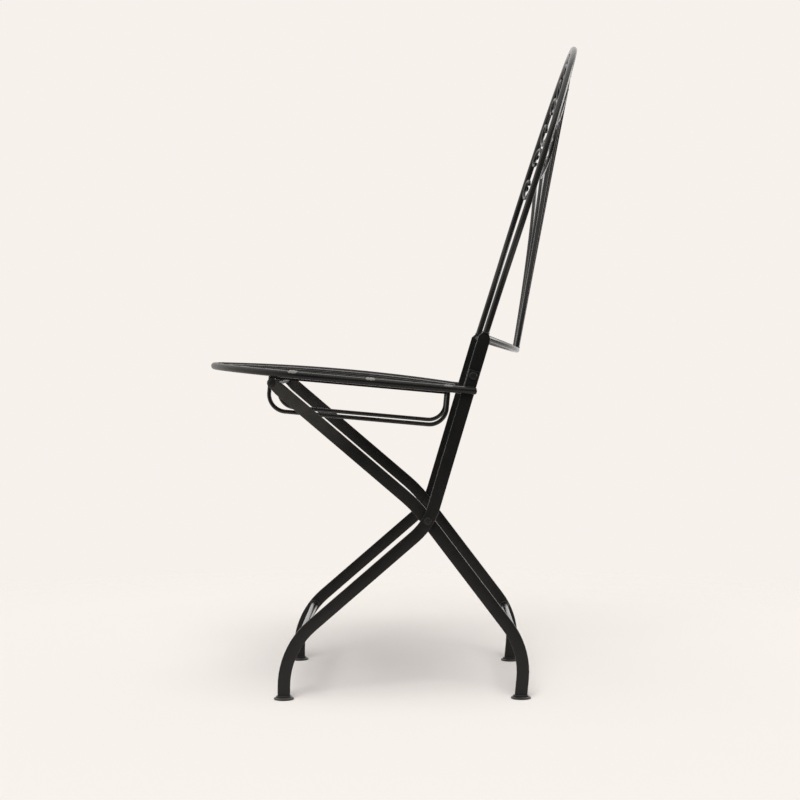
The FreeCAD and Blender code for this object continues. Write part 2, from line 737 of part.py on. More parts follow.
rim, rimPlace = seatBody("seat_rim")
rimSection = sketchOn(rim, "Section", "XZ_Plane", "- rim_tail")
drawCircle(rimSection, "rim_rear_half", "- seat_drop", "rim_diameter/2")
rimPath = sketchOn(rim, "Path", "XY_Plane", "- seat_drop")
rimRight = [
    ("rim_rear_half", "rim_tail", None),
    ("rim_front_half", "- seat_reach", "rim_corner_radius"),
]
rimLeft = [("- " + across, up, radius) for across, up, radius in reversed(rimRight)]
addPipe(rim, rimSection, rimPath, drawBentPath(rimPath, rimRight + rimLeft))
keep(rim, "seat_rim", rimPlace)


def lug(name, side):
    """A hinge plate that leans with the upright and stands on the rim beside it."""
    body, place = seatBody(name, side * (lugInner + size("lug_thickness/2")))
    up = seatPlace.Rotation.inverted().multVec(uprightWay)
    top = up * size("lug_top")
    half = Vector(0, up.z, -up.y) * size("lug_width/2")
    bottom = up * (size("lug_above_rim - seat_drop") / up.z)
    foot = Vector(0, size("lug_width/2") / up.z, 0)
    plate = sketchOn(body, "Plate", "YZ_Plane")
    corners = [top - half, bottom - foot, bottom + foot, top + half]
    drawPolygon(plate, [(p.y, p.z) for p in corners])
    addAcross(body, "Pad", "Lug", plate, "lug_thickness")
    addHoles(body, (Vector(0, 0, 0),), "rivet_diameter/2 + rivet_clearance")
    body.Placement = place
    fitted = document.addObject("Part::Cut", name + "_fitted")
    fitted.Base = body
    fitted.Tool = rim
    keep(fitted, name)


for word, side in sides:
    lug(f"{word}_seat_hinge_lug", side)


def dome(name, depth):
    """The ball of the seat surface, turned so that its poles and seam are away from the seat."""
    ball = document.addObject("Part::Sphere", name)
    ball.Radius = domeRadius - depth
    ball.Placement = FreeCAD.Placement(domeCentre, Rotation(Vector(1, 0, 0), 90))
    return ball


# Slats and cross bars are strips of two thin shells of the dome, trimmed inside the rim.
slatRear = size("slat_rear")
trimInset = size("rim_diameter/2 + rim_gap")
rimRun = (slatRear + size("rim_tail")) / size("seat_reach + rim_tail")
rimAtSlats = size("rim_rear_half") + size("rim_front_half - rim_rear_half") * rimRun
trimOutline = document.addObject("Sketcher::SketchObject", "TrimOutline")
trimRight = [
    (rimAtSlats - trimInset, -slatRear, None),
    (
        "rim_front_half - rim_diameter/2 - rim_gap",
        "- seat_reach + rim_diameter/2 + rim_gap",
        "rim_corner_radius - rim_diameter/2 - rim_gap",
    ),
]
trimLeft = [
    ("- rim_front_half + rim_diameter/2 + rim_gap",) + trimRight[1][1:],
    (trimInset - rimAtSlats, -slatRear, None),
]
drawBentPath(trimOutline, trimRight + trimLeft, closed=True)
trim = document.addObject("Part::Extrusion", "SeatTrim")
trim.Base = trimOutline
trim.Dir = Vector(0, 0, 1)
trim.DirMode = "Custom"
trim.Symmetric = True
trim.Solid = True
bind(trim, "LengthFwd", "seat_reach")
slatTop = dome("SlatTop", 0.0)
slatBottom = dome("SlatBottom", size("slat_thickness"))
barTop = dome("CrossBarTop", barTopDepth)
barBottom = dome("CrossBarBottom", barBottomDepth)
runnerTop = dome("RunnerTop", runnerDepth)


def block(name, width, length, x, y, bottom):
    """A tall block from which a strip of the dome is cut, centred on x and y."""
    box = document.addObject("Part::Box", name + "_block")
    for prop, text in (("Width", length), ("Length", width)):
        if isinstance(text, float):
            setattr(box, prop, text)
        else:
            bind(box, prop, text)
    bind(box, "Height", "seat_reach")
    box.Placement.Base = Vector(x - size(width) / 2, y - size(length) / 2, bottom)
    return box


def strip(name, box, top, bottom):
    common = document.addObject("Part::MultiCommon", name + "_strip")
    common.Shapes = [box, top, trim]
    cut = document.addObject("Part::Cut", name + "_shell")
    cut.Base = common
    cut.Tool = bottom
    keep(cut, name, seatPlace)


middleY = -size("seat_reach/2")
for number in range(-slatsEachSide, slatsEachSide + 1):
    name = f"seat_slat_{number + slatsEachSide + 1:02d}"
    x = number * size("slat_pitch")
    box = block(name, "slat_width", "seat_reach + seat_reach", x, middleY, size("- seat_reach/2"))
    strip(name, box, slatTop, slatBottom)
for number, word in enumerate(crossBars):
    name = f"{word}_cross_bar"
    y = -size("rear_cross_bar") - number * size("cross_bar_pitch")
    box = block(name, "seat_reach + seat_reach", "cross_bar_width", 0.0, y, size("- seat_reach/2"))
    strip(name, box, barTop, barBottom)

# Guides: bent rods under the seat in which the sliding rod runs, with a bearing strip above it

guideLow = "- seat_drop - guide_depth"
for word, side in sides:
    frontY = -size("guide_front")
    rearY = -size("guide_rear")
    frontTop = domeHeight(guideX, frontY, size("slat_thickness")) - size("rim_gap")
    rearTop = domeHeight(guideX, rearY, barBottomDepth) - size("rim_gap")
    guide, place = seatBody(f"{word}_slide_guide", side * guideX)
    section = sketchOn(guide, "Section", "XY_Plane", frontTop)
    drawCircle(section, 0, "- guide_front", "guide_diameter/2")
    path = sketchOn(guide, "Path", "YZ_Plane")
    corners = [
        ("- guide_front", frontTop, None),
        ("- guide_front", guideLow, "guide_corner_radius"),
        ("- guide_rear", guideLow, "guide_corner_radius"),
        ("- guide_rear", rearTop, None),
    ]
    addPipe(guide, section, path, drawBentPath(path, corners))
    keep(guide, f"{word}_slide_guide", place)

    runnerName = f"{word}_slide_runner"
    end = size("guide_diameter/2 + weld_gap")
    length = size("guide_front - guide_rear") - 2 * end
    box = block(runnerName, "runner_thickness", length, side * guideX, (frontY + rearY) / 2, runnerBottom)
    common = document.addObject("Part::MultiCommon", runnerName + "_strip")
    common.Shapes = [box, runnerTop]
    keep(common, runnerName, seatPlace)

# Check every object, then write one file for each piece

document.recompute()
faults = [o.Name for o in document.Objects if "Invalid" in o.State or "Error" in o.State]
for piece in pieces:
    if piece.Shape.isNull() or not piece.Shape.isValid():
        faults.append(piece.Label)
    elif len(piece.Shape.Solids) != 1:
        faults.append(f"{piece.Label} has {len(piece.Shape.Solids)} solids")
if faults:
    raise RuntimeError("failed objects: " + ", ".join(faults))
os.makedirs("parts", exist_ok=True)
for piece in pieces:
    piece.Shape.exportStep(f"parts/{piece.Label}.step")
print(len(pieces), "pieces written")
for label, point in (("crossing", crossing), ("hinge", hinge), ("sliding rod", rodPlace)):
    print(label, [round(v, 3) for v in point])
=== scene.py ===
import bpy
import math
import numpy as np
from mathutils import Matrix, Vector


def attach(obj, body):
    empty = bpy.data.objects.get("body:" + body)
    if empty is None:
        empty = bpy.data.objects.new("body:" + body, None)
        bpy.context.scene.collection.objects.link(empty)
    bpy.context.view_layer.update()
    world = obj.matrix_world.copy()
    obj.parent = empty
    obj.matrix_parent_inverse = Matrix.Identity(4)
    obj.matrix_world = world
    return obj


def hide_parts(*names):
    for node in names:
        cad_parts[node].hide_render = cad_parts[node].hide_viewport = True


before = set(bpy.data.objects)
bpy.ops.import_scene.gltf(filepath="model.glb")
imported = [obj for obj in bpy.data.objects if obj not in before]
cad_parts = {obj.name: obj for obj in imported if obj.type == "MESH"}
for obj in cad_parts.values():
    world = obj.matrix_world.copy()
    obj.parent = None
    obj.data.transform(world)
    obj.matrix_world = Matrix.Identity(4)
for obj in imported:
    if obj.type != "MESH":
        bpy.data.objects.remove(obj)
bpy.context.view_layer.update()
scene = bpy.context.scene
scene.view_settings.view_transform = "Standard"
print("frame loaded,", len(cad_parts), "nodes")

# photograph: level side view, near side is +X
view = {
    "place": (2.777, 0.0413, 0.486),
    "lens": 84.4,
    "shiftX": -0.025,
    "shiftY": -0.0625,
}
studio = {
    "cream": (0.930, 0.880, 0.840),
    "floorHalf": 4.0,
    "floorFadeFrom": 0.9,           # from here to the next, the floor clears into the room
    "floorFadeTo": 1.5,
    "floorLight": 1.02,
    "ambient": 0.19,                # share of the floor's light that comes from all round
    "keyTilts": (5.0, 34.0, 52.0),  # overhead lights lean to the camera side, degrees
    "keyTurn": 4.0,                 # and a little to the front of the chair
    "keySpread": 36.0,
    "tentDark": 0.05,               # what gloss sees where no light stands
    "tentBack": 1.15,               # behind the chair, straight away from the camera
    "tentSky": 1.1,
    "tentFront": 0.9,               # in front of the chair
    "tentWindow": 7.0,              # a small bright window behind the back rest
    "windowWay": (-0.35, 0.88, 0.30),
}


def addCamera():
    data = bpy.data.cameras.new("sideCamera")
    data.lens = view["lens"]
    data.sensor_width = 36.0
    data.shift_x = view["shiftX"]
    data.shift_y = view["shiftY"]
    data.clip_end = 50
    camera = bpy.data.objects.new("sideCamera", data)
    camera.location = view["place"]
    camera.rotation_euler = (math.pi / 2, 0, math.pi / 2)
    scene.collection.objects.link(camera)
    scene.camera = camera


def putNode(tree, kind, values=None, **settings):
    made = tree.nodes.new("ShaderNode" + kind)
    for key, value in settings.items():
        setattr(made, key, value)
    for socket, value in (values or {}).items():
        if isinstance(value, bpy.types.NodeSocket):
            tree.links.new(value, made.inputs[socket])
        else:
            made.inputs[socket].default_value = value
    return made


# gloss sees a dark room with a bright wall, a bright ceiling and a window; the camera sees plain cream
def addWorld():
    world = bpy.data.worlds.new("creamRoom")
    scene.world = world
    world.use_nodes = True
    tree = world.node_tree
    tree.nodes.clear()
    path = putNode(tree, "LightPath")
    direction = putNode(tree, "TexCoord").outputs["Generated"]
    parts = putNode(tree, "SeparateXYZ", {"Vector": direction})
    toWindow = putNode(tree, "VectorMath", {0: direction, 1: Vector(studio["windowWay"]).normalized()},
                       operation="DOT_PRODUCT")

    def glow(value, start, full, strength):
        return putNode(tree, "MapRange", {
            "Value": value, "From Min": start, "From Max": full, "To Min": 0.0, "To Max": strength,
        }, interpolation_type="SMOOTHSTEP").outputs["Result"]

    total = studio["tentDark"]
    for part in (
        glow(parts.outputs["X"], -0.30, -0.92, studio["tentBack"]),
        glow(parts.outputs["Z"], 0.40, 0.95, studio["tentSky"]),
        glow(parts.outputs["Y"], -0.45, -0.95, studio["tentFront"]),
        glow(toWindow.outputs["Value"], 0.90, 0.985, studio["tentWindow"]),
    ):
        total = putNode(tree, "Math", {0: part, 1: total}, operation="ADD").outputs[0]
    white = (1, 0.985, 0.965, 1)
    allRound = putNode(tree, "Background", {"Color": white, "Strength": studio["ambient"]})
    mirrored = putNode(tree, "Background", {"Color": white, "Strength": total})
    seen = putNode(tree, "Background", {"Color": (*studio["cream"], 1)})
    light = putNode(tree, "MixShader", {
        0: path.outputs["Is Glossy Ray"], 1: allRound.outputs[0], 2: mirrored.outputs[0],
    })
    whole = putNode(tree, "MixShader", {
        0: path.outputs["Is Camera Ray"], 1: light.outputs[0], 2: seen.outputs[0],
    })
    putNode(tree, "OutputWorld", {"Surface": whole.outputs[0]})


# the lit floor has the same cream as the room, and fades into it
def addFloor():
    half = studio["floorHalf"]
    corners = [(-half, -half, 0), (half, -half, 0), (half, half, 0), (-half, half, 0)]
    mesh = bpy.data.meshes.new("floor")
    mesh.from_pydata(corners, [], [(0, 1, 2, 3)])
    floor = bpy.data.objects.new("floor", mesh)
    scene.collection.objects.link(floor)
    material = bpy.data.materials.new("creamFloor")
    material.use_nodes = True
    tree = material.node_tree
    tree.nodes.clear()
    place = putNode(tree, "TexCoord")
    reach = putNode(tree, "VectorMath", {0: place.outputs["Object"]}, operation="LENGTH")
    fade = putNode(tree, "MapRange", {
        "Value": reach.outputs["Value"],
        "From Min": studio["floorFadeFrom"],
        "From Max": studio["floorFadeTo"],
    }, interpolation_type="SMOOTHSTEP")
    paper = putNode(tree, "BsdfDiffuse", {"Color": (*studio["cream"], 1)})
    clear = putNode(tree, "BsdfTransparent")
    mix = putNode(tree, "MixShader", {0: fade.outputs["Result"], 1: paper.outputs[0], 2: clear.outputs[0]})
    putNode(tree, "OutputMaterial", {"Surface": mix.outputs[0]})
    mesh.materials.append(material)


# floor light adds up: sun strengths * cosine / pi + ambient; gloss sees only the room
def addKeyLights():
    turn = math.radians(studio["keyTurn"])
    share = (studio["floorLight"] - studio["ambient"]) / len(studio["keyTilts"])
    for number, degrees in enumerate(studio["keyTilts"], 1):
        tilt = math.radians(degrees)
        data = bpy.data.lights.new(f"overheadLight{number}", "SUN")
        data.angle = math.radians(studio["keySpread"])
        data.energy = share * math.pi / (math.cos(tilt) * math.cos(turn))
        lamp = bpy.data.objects.new(f"overheadLight{number}", data)
        lamp.location = (2 * math.sin(tilt), 0, 2.4)
        lamp.rotation_euler = (turn, tilt, 0)
        lamp.visible_glossy = False
        scene.collection.objects.link(lamp)


addCamera()
addWorld()
addFloor()
addKeyLights()
print("studio ready")


# surfaces: rings of points on a grid, worked out as whole arrays

def unit(v):
    return v / np.linalg.norm(v, axis=-1, keepdims=True)


# straight runs joined by arcs that touch them; corners are (point, bend radius)
def bentPath(corners, turnStep=math.radians(4)):
    points = np.array([corner[0] for corner in corners], float)
    runs = [points[:1]]
    for k in range(1, len(points) - 1):
        radius = corners[k][1]
        back = unit(points[k - 1] - points[k])
        ahead = unit(points[k + 1] - points[k])
        turn = math.pi - math.acos(np.clip(back @ ahead, -1, 1))
        inward = unit(back + ahead)
        onward = unit(ahead - back)
        centre = points[k] + inward * radius / math.cos(turn / 2)
        angles = np.linspace(-turn / 2, turn / 2, max(4, int(turn / turnStep)))[:, None]
        runs.append(centre - radius * (np.cos(angles) * inward - np.sin(angles) * onward))
    runs.append(points[-1:])
    return np.concatenate(runs)


# the circle through three points, from the first to the last
def arcThrough(a, b, c, count=40):
    ab, ac = b - a, c - a
    normal = np.cross(ab, ac)
    toCentre = (np.cross(normal, ab) * (ac @ ac) + np.cross(ac, normal) * (ab @ ab)) / (2 * normal @ normal)
    centre = a + toCentre
    radius = np.linalg.norm(toCentre)
    e1 = -toCentre / radius
    e2 = np.cross(unit(normal), e1)
    sweepAngle = math.atan2((c - centre) @ e2, (c - centre) @ e1) % (2 * math.pi)
    angles = np.linspace(0, sweepAngle, count)[:, None]
    return centre + radius * (np.cos(angles) * e1 + np.sin(angles) * e2)


# distance along a path at each of its points
def runLength(path):
    return np.concatenate([[0], np.cumsum(np.linalg.norm(np.diff(path, axis=0), axis=1))])


# points of a path at some distances along it
def pathAt(path, along, places):
    return np.stack([np.interp(places, along, path[:, k]) for k in range(3)], -1)


# the same path with extra points, so that no ring is further than `step` from the next
def filled(path, step):
    along = runLength(path)
    places = np.union1d(along, np.arange(0, along[-1], step))
    places = places[np.concatenate([[True], np.diff(places) > 1e-6])]
    return pathAt(path, along, places)


# points turned about the X axis so that the seat, hoop or rail falls or leans backwards
def leaned(points, origin, degrees):
    x, y, z = np.moveaxis(np.asarray(points, float), -1, 0)
    c, s = math.cos(math.radians(degrees)), math.sin(math.radians(degrees))
    return np.stack([x, origin[1] + y * c + z * s, origin[2] - y * s + z * c], -1)


# rounded rectangle, u by v; the second array is 1 in the middle of each rounded edge
def flatProfile(u, v, rounding, turns=4):
    turn = np.linspace(0, math.pi / 2, turns + 1)
    angles = turn + np.arange(4)[:, None] * math.pi / 2
    signs = np.array([(1, 1), (-1, 1), (-1, -1), (1, -1)])
    centres = signs * (np.array([u, v]) / 2 - rounding)
    points = centres[:, None] + rounding * np.stack([np.cos(angles), np.sin(angles)], -1)
    edge = np.broadcast_to(np.sin(2 * turn), angles.shape)
    return points.reshape(-1, 2), edge.ravel()


def roundProfile(radius, count=20):
    angles = np.arange(count) * 2 * math.pi / count
    return radius * np.stack([np.cos(angles), np.sin(angles)], -1), np.zeros(count)


# a profile carried along a path: u lies along `side`, v across side and path
def sweep(path, side, profile, wide=1.0, thick=1.0, closed=False):
    points, edge = profile
    steps = unit(np.roll(path, -1, 0) - path)
    ahead = unit(steps + np.roll(steps, 1, 0))
    if not closed:
        ahead[0] = steps[0]
        ahead[-1] = steps[-2]
    up = unit(np.cross(ahead, np.broadcast_to(side, path.shape)))
    across = np.cross(up, ahead)
    ones = np.ones(len(path))
    u = points[:, 0] * (thick * ones)[:, None]
    v = points[:, 1] * (wide * ones)[:, None]
    grid = path[:, None] + across[:, None] * u[..., None] + up[:, None] * v[..., None]
    return grid, np.broadcast_to(edge, grid.shape[:2]), closed


# a round rod whose ends are rounded over `tip`: rings shrink as a quarter circle
def rod(path, side, radius, tip=0.0006, count=20, step=0.012):
    path = filled(path, step)
    first = unit(path[0] - path[1])
    last = unit(path[-1] - path[-2])
    angles = np.radians([80, 55, 30, 0])[:, None]
    start = path[0] + first * tip * (np.sin(angles) - 1)
    end = path[-1] + last * tip * (np.sin(angles[::-1]) - 1)
    shrink = (radius - tip + tip * np.cos(angles[:, 0])) / radius
    scale = np.concatenate([shrink, np.ones(len(path) - 2), shrink[::-1]])
    return sweep(np.concatenate([start, path[1:-1], end]), side, roundProfile(radius, count), scale, scale)


# two ways square to an axis and to each other
def squareTo(axis):
    e1 = unit(np.cross(axis, (0.3, 0.7, 0.2)))
    return e1, np.cross(axis, e1)


# (radius, height) pairs turned about an axis
def turnedPiece(pairs, origin, axis, count=40):
    pairs = np.array(pairs, float)
    axis = unit(np.array(axis, float))
    e1, e2 = squareTo(axis)
    angles = np.arange(count) * 2 * math.pi / count
    ring = np.cos(angles)[:, None] * e1 + np.sin(angles)[:, None] * e2
    grid = np.array(origin) + pairs[:, 1, None, None] * axis + pairs[:, 0, None, None] * ring
    return grid, np.zeros(grid.shape[:2]), False


# a weld: a small round bead along a path, swelling and shrinking in short and long ripples
def bead(path, side, size, ripple=0.0032, closed=False):
    path = filled(path, 0.0008)
    along = runLength(path)
    turns = along * 2 * math.pi / ripple
    waves = 1 + 0.13 * np.sin(turns) + 0.07 * np.sin(turns / 2.7)
    if not closed:
        ends = np.minimum(along, along[-1] - along) / (1.6 * size)
        waves = waves * np.sqrt(np.clip(ends, 0.01, 1))
    return sweep(path, side, roundProfile(size, 10), waves, waves, closed)


def ringBead(centre, axis, radius, size):
    axis = unit(np.array(axis, float))
    e1, e2 = squareTo(axis)
    angles = np.linspace(0, 2 * math.pi, 56, endpoint=False)[:, None]
    path = np.array(centre) + radius * (np.cos(angles) * e1 + np.sin(angles) * e2)
    waves = 1 + 0.13 * np.sin(9 * angles[:, 0]) + 0.06 * np.sin(4 * angles[:, 0] + 1)
    return sweep(path, axis, roundProfile(size, 10), waves, waves, True)


def ringFaces(rings, around, closed):
    i = np.arange(rings if closed else rings - 1)[:, None]
    j = np.arange(around)[None, :]
    nextI = (i + 1) % rings
    nextJ = (j + 1) % around
    corners = [i * around + j, i * around + nextJ, nextI * around + nextJ, nextI * around + j]
    return np.stack(corners, -1).reshape(-1, 4)


def flipped(surface):
    grid, edge, closed = surface
    return grid[:, ::-1] * (-1, 1, 1), edge[:, ::-1], closed


def bothSides(surfaces):
    return surfaces + [flipped(surface) for surface in surfaces]


# one mesh from ring surfaces, with attributes for rubbed edges, worn places that also carry a painted
# sheen, and dust on what faces up
def makePiece(name, surfaces, body, material, nodes=(), wornAndSheen=None):
    points, faces, marks = [], [], []
    count = 0
    for grid, edge, closed in surfaces:
        rings, around = grid.shape[:2]
        faces += (ringFaces(rings, around, closed) + count).tolist()
        if not closed:
            faces.append(list(range(count + around - 1, count - 1, -1)))
            faces.append(list(range(count + (rings - 1) * around, count + rings * around)))
        points.append(grid.reshape(-1, 3))
        marks.append(edge.ravel())
        count += rings * around
    mesh = bpy.data.meshes.new(name)
    mesh.from_pydata(np.concatenate(points).tolist(), [], faces)
    mesh.shade_smooth()
    mesh.set_sharp_from_angle(angle=math.radians(50))
    normals = np.empty(count * 3, "f")
    mesh.vertex_normals.foreach_get("vector", normals)
    attributes = {"edge": np.concatenate(marks), "upward": np.clip(normals.reshape(-1, 3)[:, 2], 0, 1)}
    if wornAndSheen is not None:
        attributes["wornAndSheen"] = wornAndSheen.ravel()
    for label, values in attributes.items():
        mesh.attributes.new(label, "FLOAT", "POINT").data.foreach_set("value", values.astype("f"))
    mesh.materials.append(material)
    piece = bpy.data.objects.new(name, mesh)
    scene.collection.objects.link(piece)
    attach(piece, body)
    if nodes:
        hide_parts(*nodes)
    return piece


# paint: shared effects in one group, its own values in each material

def addSocket(tree, name, kind, into):
    tree.interface.new_socket(name, in_out="INPUT" if into else "OUTPUT", socket_type="NodeSocket" + kind)


wearAndSheen = {
    "rubbed": (0.075, 0.071, 0.068, 1),
    # lighter grey for worn places: worn paint and a painted sheen
    "fadedAndSheen": (0.050, 0.047, 0.042, 1),
    "dust": (0.150, 0.136, 0.120, 1),
}
paintInputs = ("Rough", "Polish", "Rub", "Dust", "Hammer", "Peel")


# tone drifts slowly; edges rub to grey; worn places fade to a lighter grey, which is wear and a painted
# sheen; dust lies on what faces up; hammered relief
def makePaintGroup():
    tree = bpy.data.node_groups.new("ironPaint", "ShaderNodeTree")
    addSocket(tree, "Tone", "Color", True)
    for name in paintInputs:
        addSocket(tree, name, "Float", True)
    addSocket(tree, "Color", "Color", False)
    addSocket(tree, "Roughness", "Float", False)
    addSocket(tree, "Normal", "Vector", False)
    given = tree.nodes.new("NodeGroupInput").outputs
    out = tree.nodes.new("NodeGroupOutput")
    place = putNode(tree, "TexCoord").outputs["Object"]

    def noise(scale, detail):
        made = putNode(tree, "TexNoise", {"Vector": place, "Scale": scale, "Detail": detail})
        return made.outputs["Fac"]

    def math2(operation, a, b, clamp=False):
        return putNode(tree, "Math", {0: a, 1: b}, operation=operation, use_clamp=clamp).outputs[0]

    # colour sockets of a mix node are numbers 6 and 7, its colour result is number 2
    def mixed(share, first, second):
        return putNode(tree, "Mix", {0: share, 6: first, 7: second}, data_type="RGBA").outputs[2]

    broad = noise(9.0, 4.0)
    fine = noise(75.0, 5.0)
    edge = putNode(tree, "Attribute", attribute_name="edge").outputs["Fac"]
    upward = putNode(tree, "Attribute", attribute_name="upward").outputs["Fac"]
    wornAndSheen = putNode(tree, "Attribute", attribute_name="wornAndSheen").outputs["Fac"]

    drift = putNode(tree, "MapRange", {
        "Value": broad, "From Min": 0.3, "From Max": 0.7, "To Min": 0.7, "To Max": 1.35,
    }).outputs["Result"]
    tone = putNode(tree, "HueSaturation", {"Value": drift, "Color": given["Tone"]}).outputs["Color"]

    onEdge = math2("MULTIPLY", edge, math2("MULTIPLY", fine, 2.0))
    rub = putNode(tree, "MapRange", {
        "Value": math2("ADD", onEdge, given["Rub"]), "From Min": 1.0, "From Max": 1.35,
    }, interpolation_type="SMOOTHSTEP").outputs["Result"]
    rubbed = mixed(rub, tone, wearAndSheen["rubbed"])

    patchy = putNode(tree, "MapRange", {
        "Value": fine, "From Min": 0.3, "From Max": 0.7, "To Min": 0.75, "To Max": 1.1,
    }).outputs["Result"]
    # worn places are painted lighter, partly as wear and partly as a painted sheen
    fadedAndSheen = mixed(math2("MULTIPLY", wornAndSheen, patchy, True), rubbed, wearAndSheen["fadedAndSheen"])

    cover = putNode(tree, "MapRange", {
        "Value": math2("ADD", fine, broad), "From Min": 0.75, "From Max": 1.25,
    }, interpolation_type="SMOOTHSTEP").outputs["Result"]
    dust = math2("MULTIPLY", math2("MULTIPLY", upward, cover), given["Dust"], True)
    dusted = mixed(dust, fadedAndSheen, wearAndSheen["dust"])

    uneven = math2("MULTIPLY_ADD", fine, 0.16)
    uneven.node.inputs[2].default_value = -0.08
    smooth = math2("SUBTRACT", given["Rough"], math2("MULTIPLY", edge, given["Polish"]))
    dull = math2("ADD", math2("MULTIPLY", dust, 0.35), math2("MULTIPLY", wornAndSheen, 0.22))
    rough = math2("ADD", math2("ADD", smooth, uneven), dull, True)

    relief = math2("ADD", math2("MULTIPLY", noise(70.0, 1.0), given["Hammer"]),
                   math2("MULTIPLY", noise(900.0, 1.0), given["Peel"]))
    bump = putNode(tree, "Bump", {"Height": relief, "Distance": 0.001, "Strength": 1.0})
    tree.links.new(dusted, out.inputs["Color"])
    tree.links.new(rough, out.inputs["Roughness"])
    tree.links.new(bump.outputs["Normal"], out.inputs["Normal"])
    return tree


paintGroup = makePaintGroup()
finishes = {                    # tone, gloss level, then the group's values
    "barPaint": ((0.0080, 0.0078, 0.0075), 0.3, (0.36, 0.08, 0.10, 0.05, 0.20, 0.010)),
    "rodPaint": ((0.0105, 0.0103, 0.0100), 0.5, (0.25, 0.00, 0.00, 0.05, 0.015, 0.002)),
    "rimPaint": ((0.0095, 0.0093, 0.0090), 0.25, (0.20, 0.00, 0.00, 0.05, 0.015, 0.002)),
    "seatPaint": ((0.0145, 0.0138, 0.0128), 0.3, (0.48, 0.15, 0.14, 0.05, 0.08, 0.008)),
    "thighPaint": ((0.0145, 0.0138, 0.0128), 0.3, (0.45, 0.15, 0.14, 0.03, 0.08, 0.006)),
    "rivetPaint": ((0.0100, 0.0098, 0.0094), 0.3, (0.52, 0.00, 0.00, 0.05, 0.08, 0.008)),
    "footPaint": ((0.0130, 0.0126, 0.0120), 0.5, (0.45, 0.00, 0.05, 0.30, 0.10, 0.014)),
    "slidePaint": ((0.0140, 0.0137, 0.0132), 0.4, (0.40, 0.00, 0.00, 0.02, 0.05, 0.006)),
    "weldPaint": ((0.0095, 0.0093, 0.0090), 0.5, (0.33, 0.00, 0.00, 0.08, 0.25, 0.012)),
    # light grey tone for the weld pads at the cross bar ends: a painted highlight
    "padHighlightPaint": ((0.2100, 0.2020, 0.1900), 0.5, (0.34, 0.00, 0.00, 0.10, 0.30, 0.012)),
}
# chalky paint loses its gloss at a flat angle, where 1 is edge on; rubbed by the sitter, it gleams again
chalky = {"fadeFrom": 0.50, "fadeTo": 0.84, "gleamFrom": 0.90, "gleamTo": 0.95}
gleams = {"seatPaint": 0.0, "thighPaint": 0.4}


def makePaint(name):
    tone, gloss, values = finishes[name]
    material = bpy.data.materials.new(name)
    material.use_nodes = True
    tree = material.node_tree
    paint = putNode(tree, "Group", node_tree=paintGroup)
    paint.inputs["Tone"].default_value = (*tone, 1)
    for socket, value in zip(paintInputs, values):
        paint.inputs[socket].default_value = value
    shader = tree.nodes["Principled BSDF"]
    shader.inputs["Specular IOR Level"].default_value = gloss
    if name in gleams:
        flat = putNode(tree, "LayerWeight", {"Blend": 0.5}).outputs["Facing"]

        def ramp(start, end, low, high):
            return putNode(tree, "MapRange", {
                "Value": flat, "From Min": start, "From Max": end, "To Min": low, "To Max": high,
            }, interpolation_type="SMOOTHSTEP").outputs["Result"]

        level = putNode(tree, "Math", {
            0: ramp(chalky["fadeFrom"], chalky["fadeTo"], gloss, 0.0),
            1: ramp(chalky["gleamFrom"], chalky["gleamTo"], 0.0, gleams[name]),
        }, operation="ADD")
        tree.links.new(level.outputs[0], shader.inputs["Specular IOR Level"])
    tree.links.new(paint.outputs["Color"], shader.inputs["Base Color"])
    tree.links.new(paint.outputs["Roughness"], shader.inputs["Roughness"])
    tree.links.new(paint.outputs["Normal"], shader.inputs["Normal"])
    return material


paints = {name: makePaint(name) for name in finishes}
for name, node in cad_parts.items():
    for slot in node.material_slots:
        slot.material = paints["barPaint"]
print("paints mixed:", ", ".join(paints))


# places that several pieces share, in metres
chair = {
    "barPlane": 0.168,
    "innerPlane": 0.1605,
    "crossing": np.array((0.0, 0.052, 0.248)),
    "waist": np.array((0.0, 0.05335, 0.243)),
    "top": np.array((0.0, 0.133, 0.510)),
    "hingeUp": 0.2159,
    "seatSlope": 5.1,
    "seatDrop": 0.0205,
    "footTop": 0.003,
}
acrossX = np.array((1.0, 0.0, 0.0))
uprightWay = unit(chair["top"] - chair["waist"])
hinge = chair["waist"] + uprightWay * chair["hingeUp"]


def onSeat(points):
    return leaned(points, hinge, chair["seatSlope"])


def shifted(path, x):
    return path + np.array((x, 0.0, 0.0))


# leg bars: flat bar bent edgewise; sizes in metres, radii are bends
legs = {
    "width": 0.0175,
    "thickness": 0.006,
    "rounding": 0.0012,
    "frontFoot": -0.148,
    "frontKnee": 0.069,
    "frontKneeRadius": 0.112,
    "waistRadius": 0.090,
    "shoulder": 0.007,
    "shoulderWidth": 0.009,
    "tip": 0.0004,
    "tipShare": 0.9,
    "rearFoot": 0.182,
    "rearKnee": (0.1884, 0.0685),
    "rearKneeRadius": 0.105,
    "rearBend": (-0.0155, 0.020),
    "rearBendRadius": 0.180,
    "eyeRadius": 0.007,
    "eyeTaper": 0.014,
    # the upper rear bar is painted lighter towards the eye, as wear and as a painted sheen
    "wornSheenFull": 0.060,
    "wornSheenEnd": 0.150,
    "wornSheenShare": 0.65,
    "step": 0.010,
}
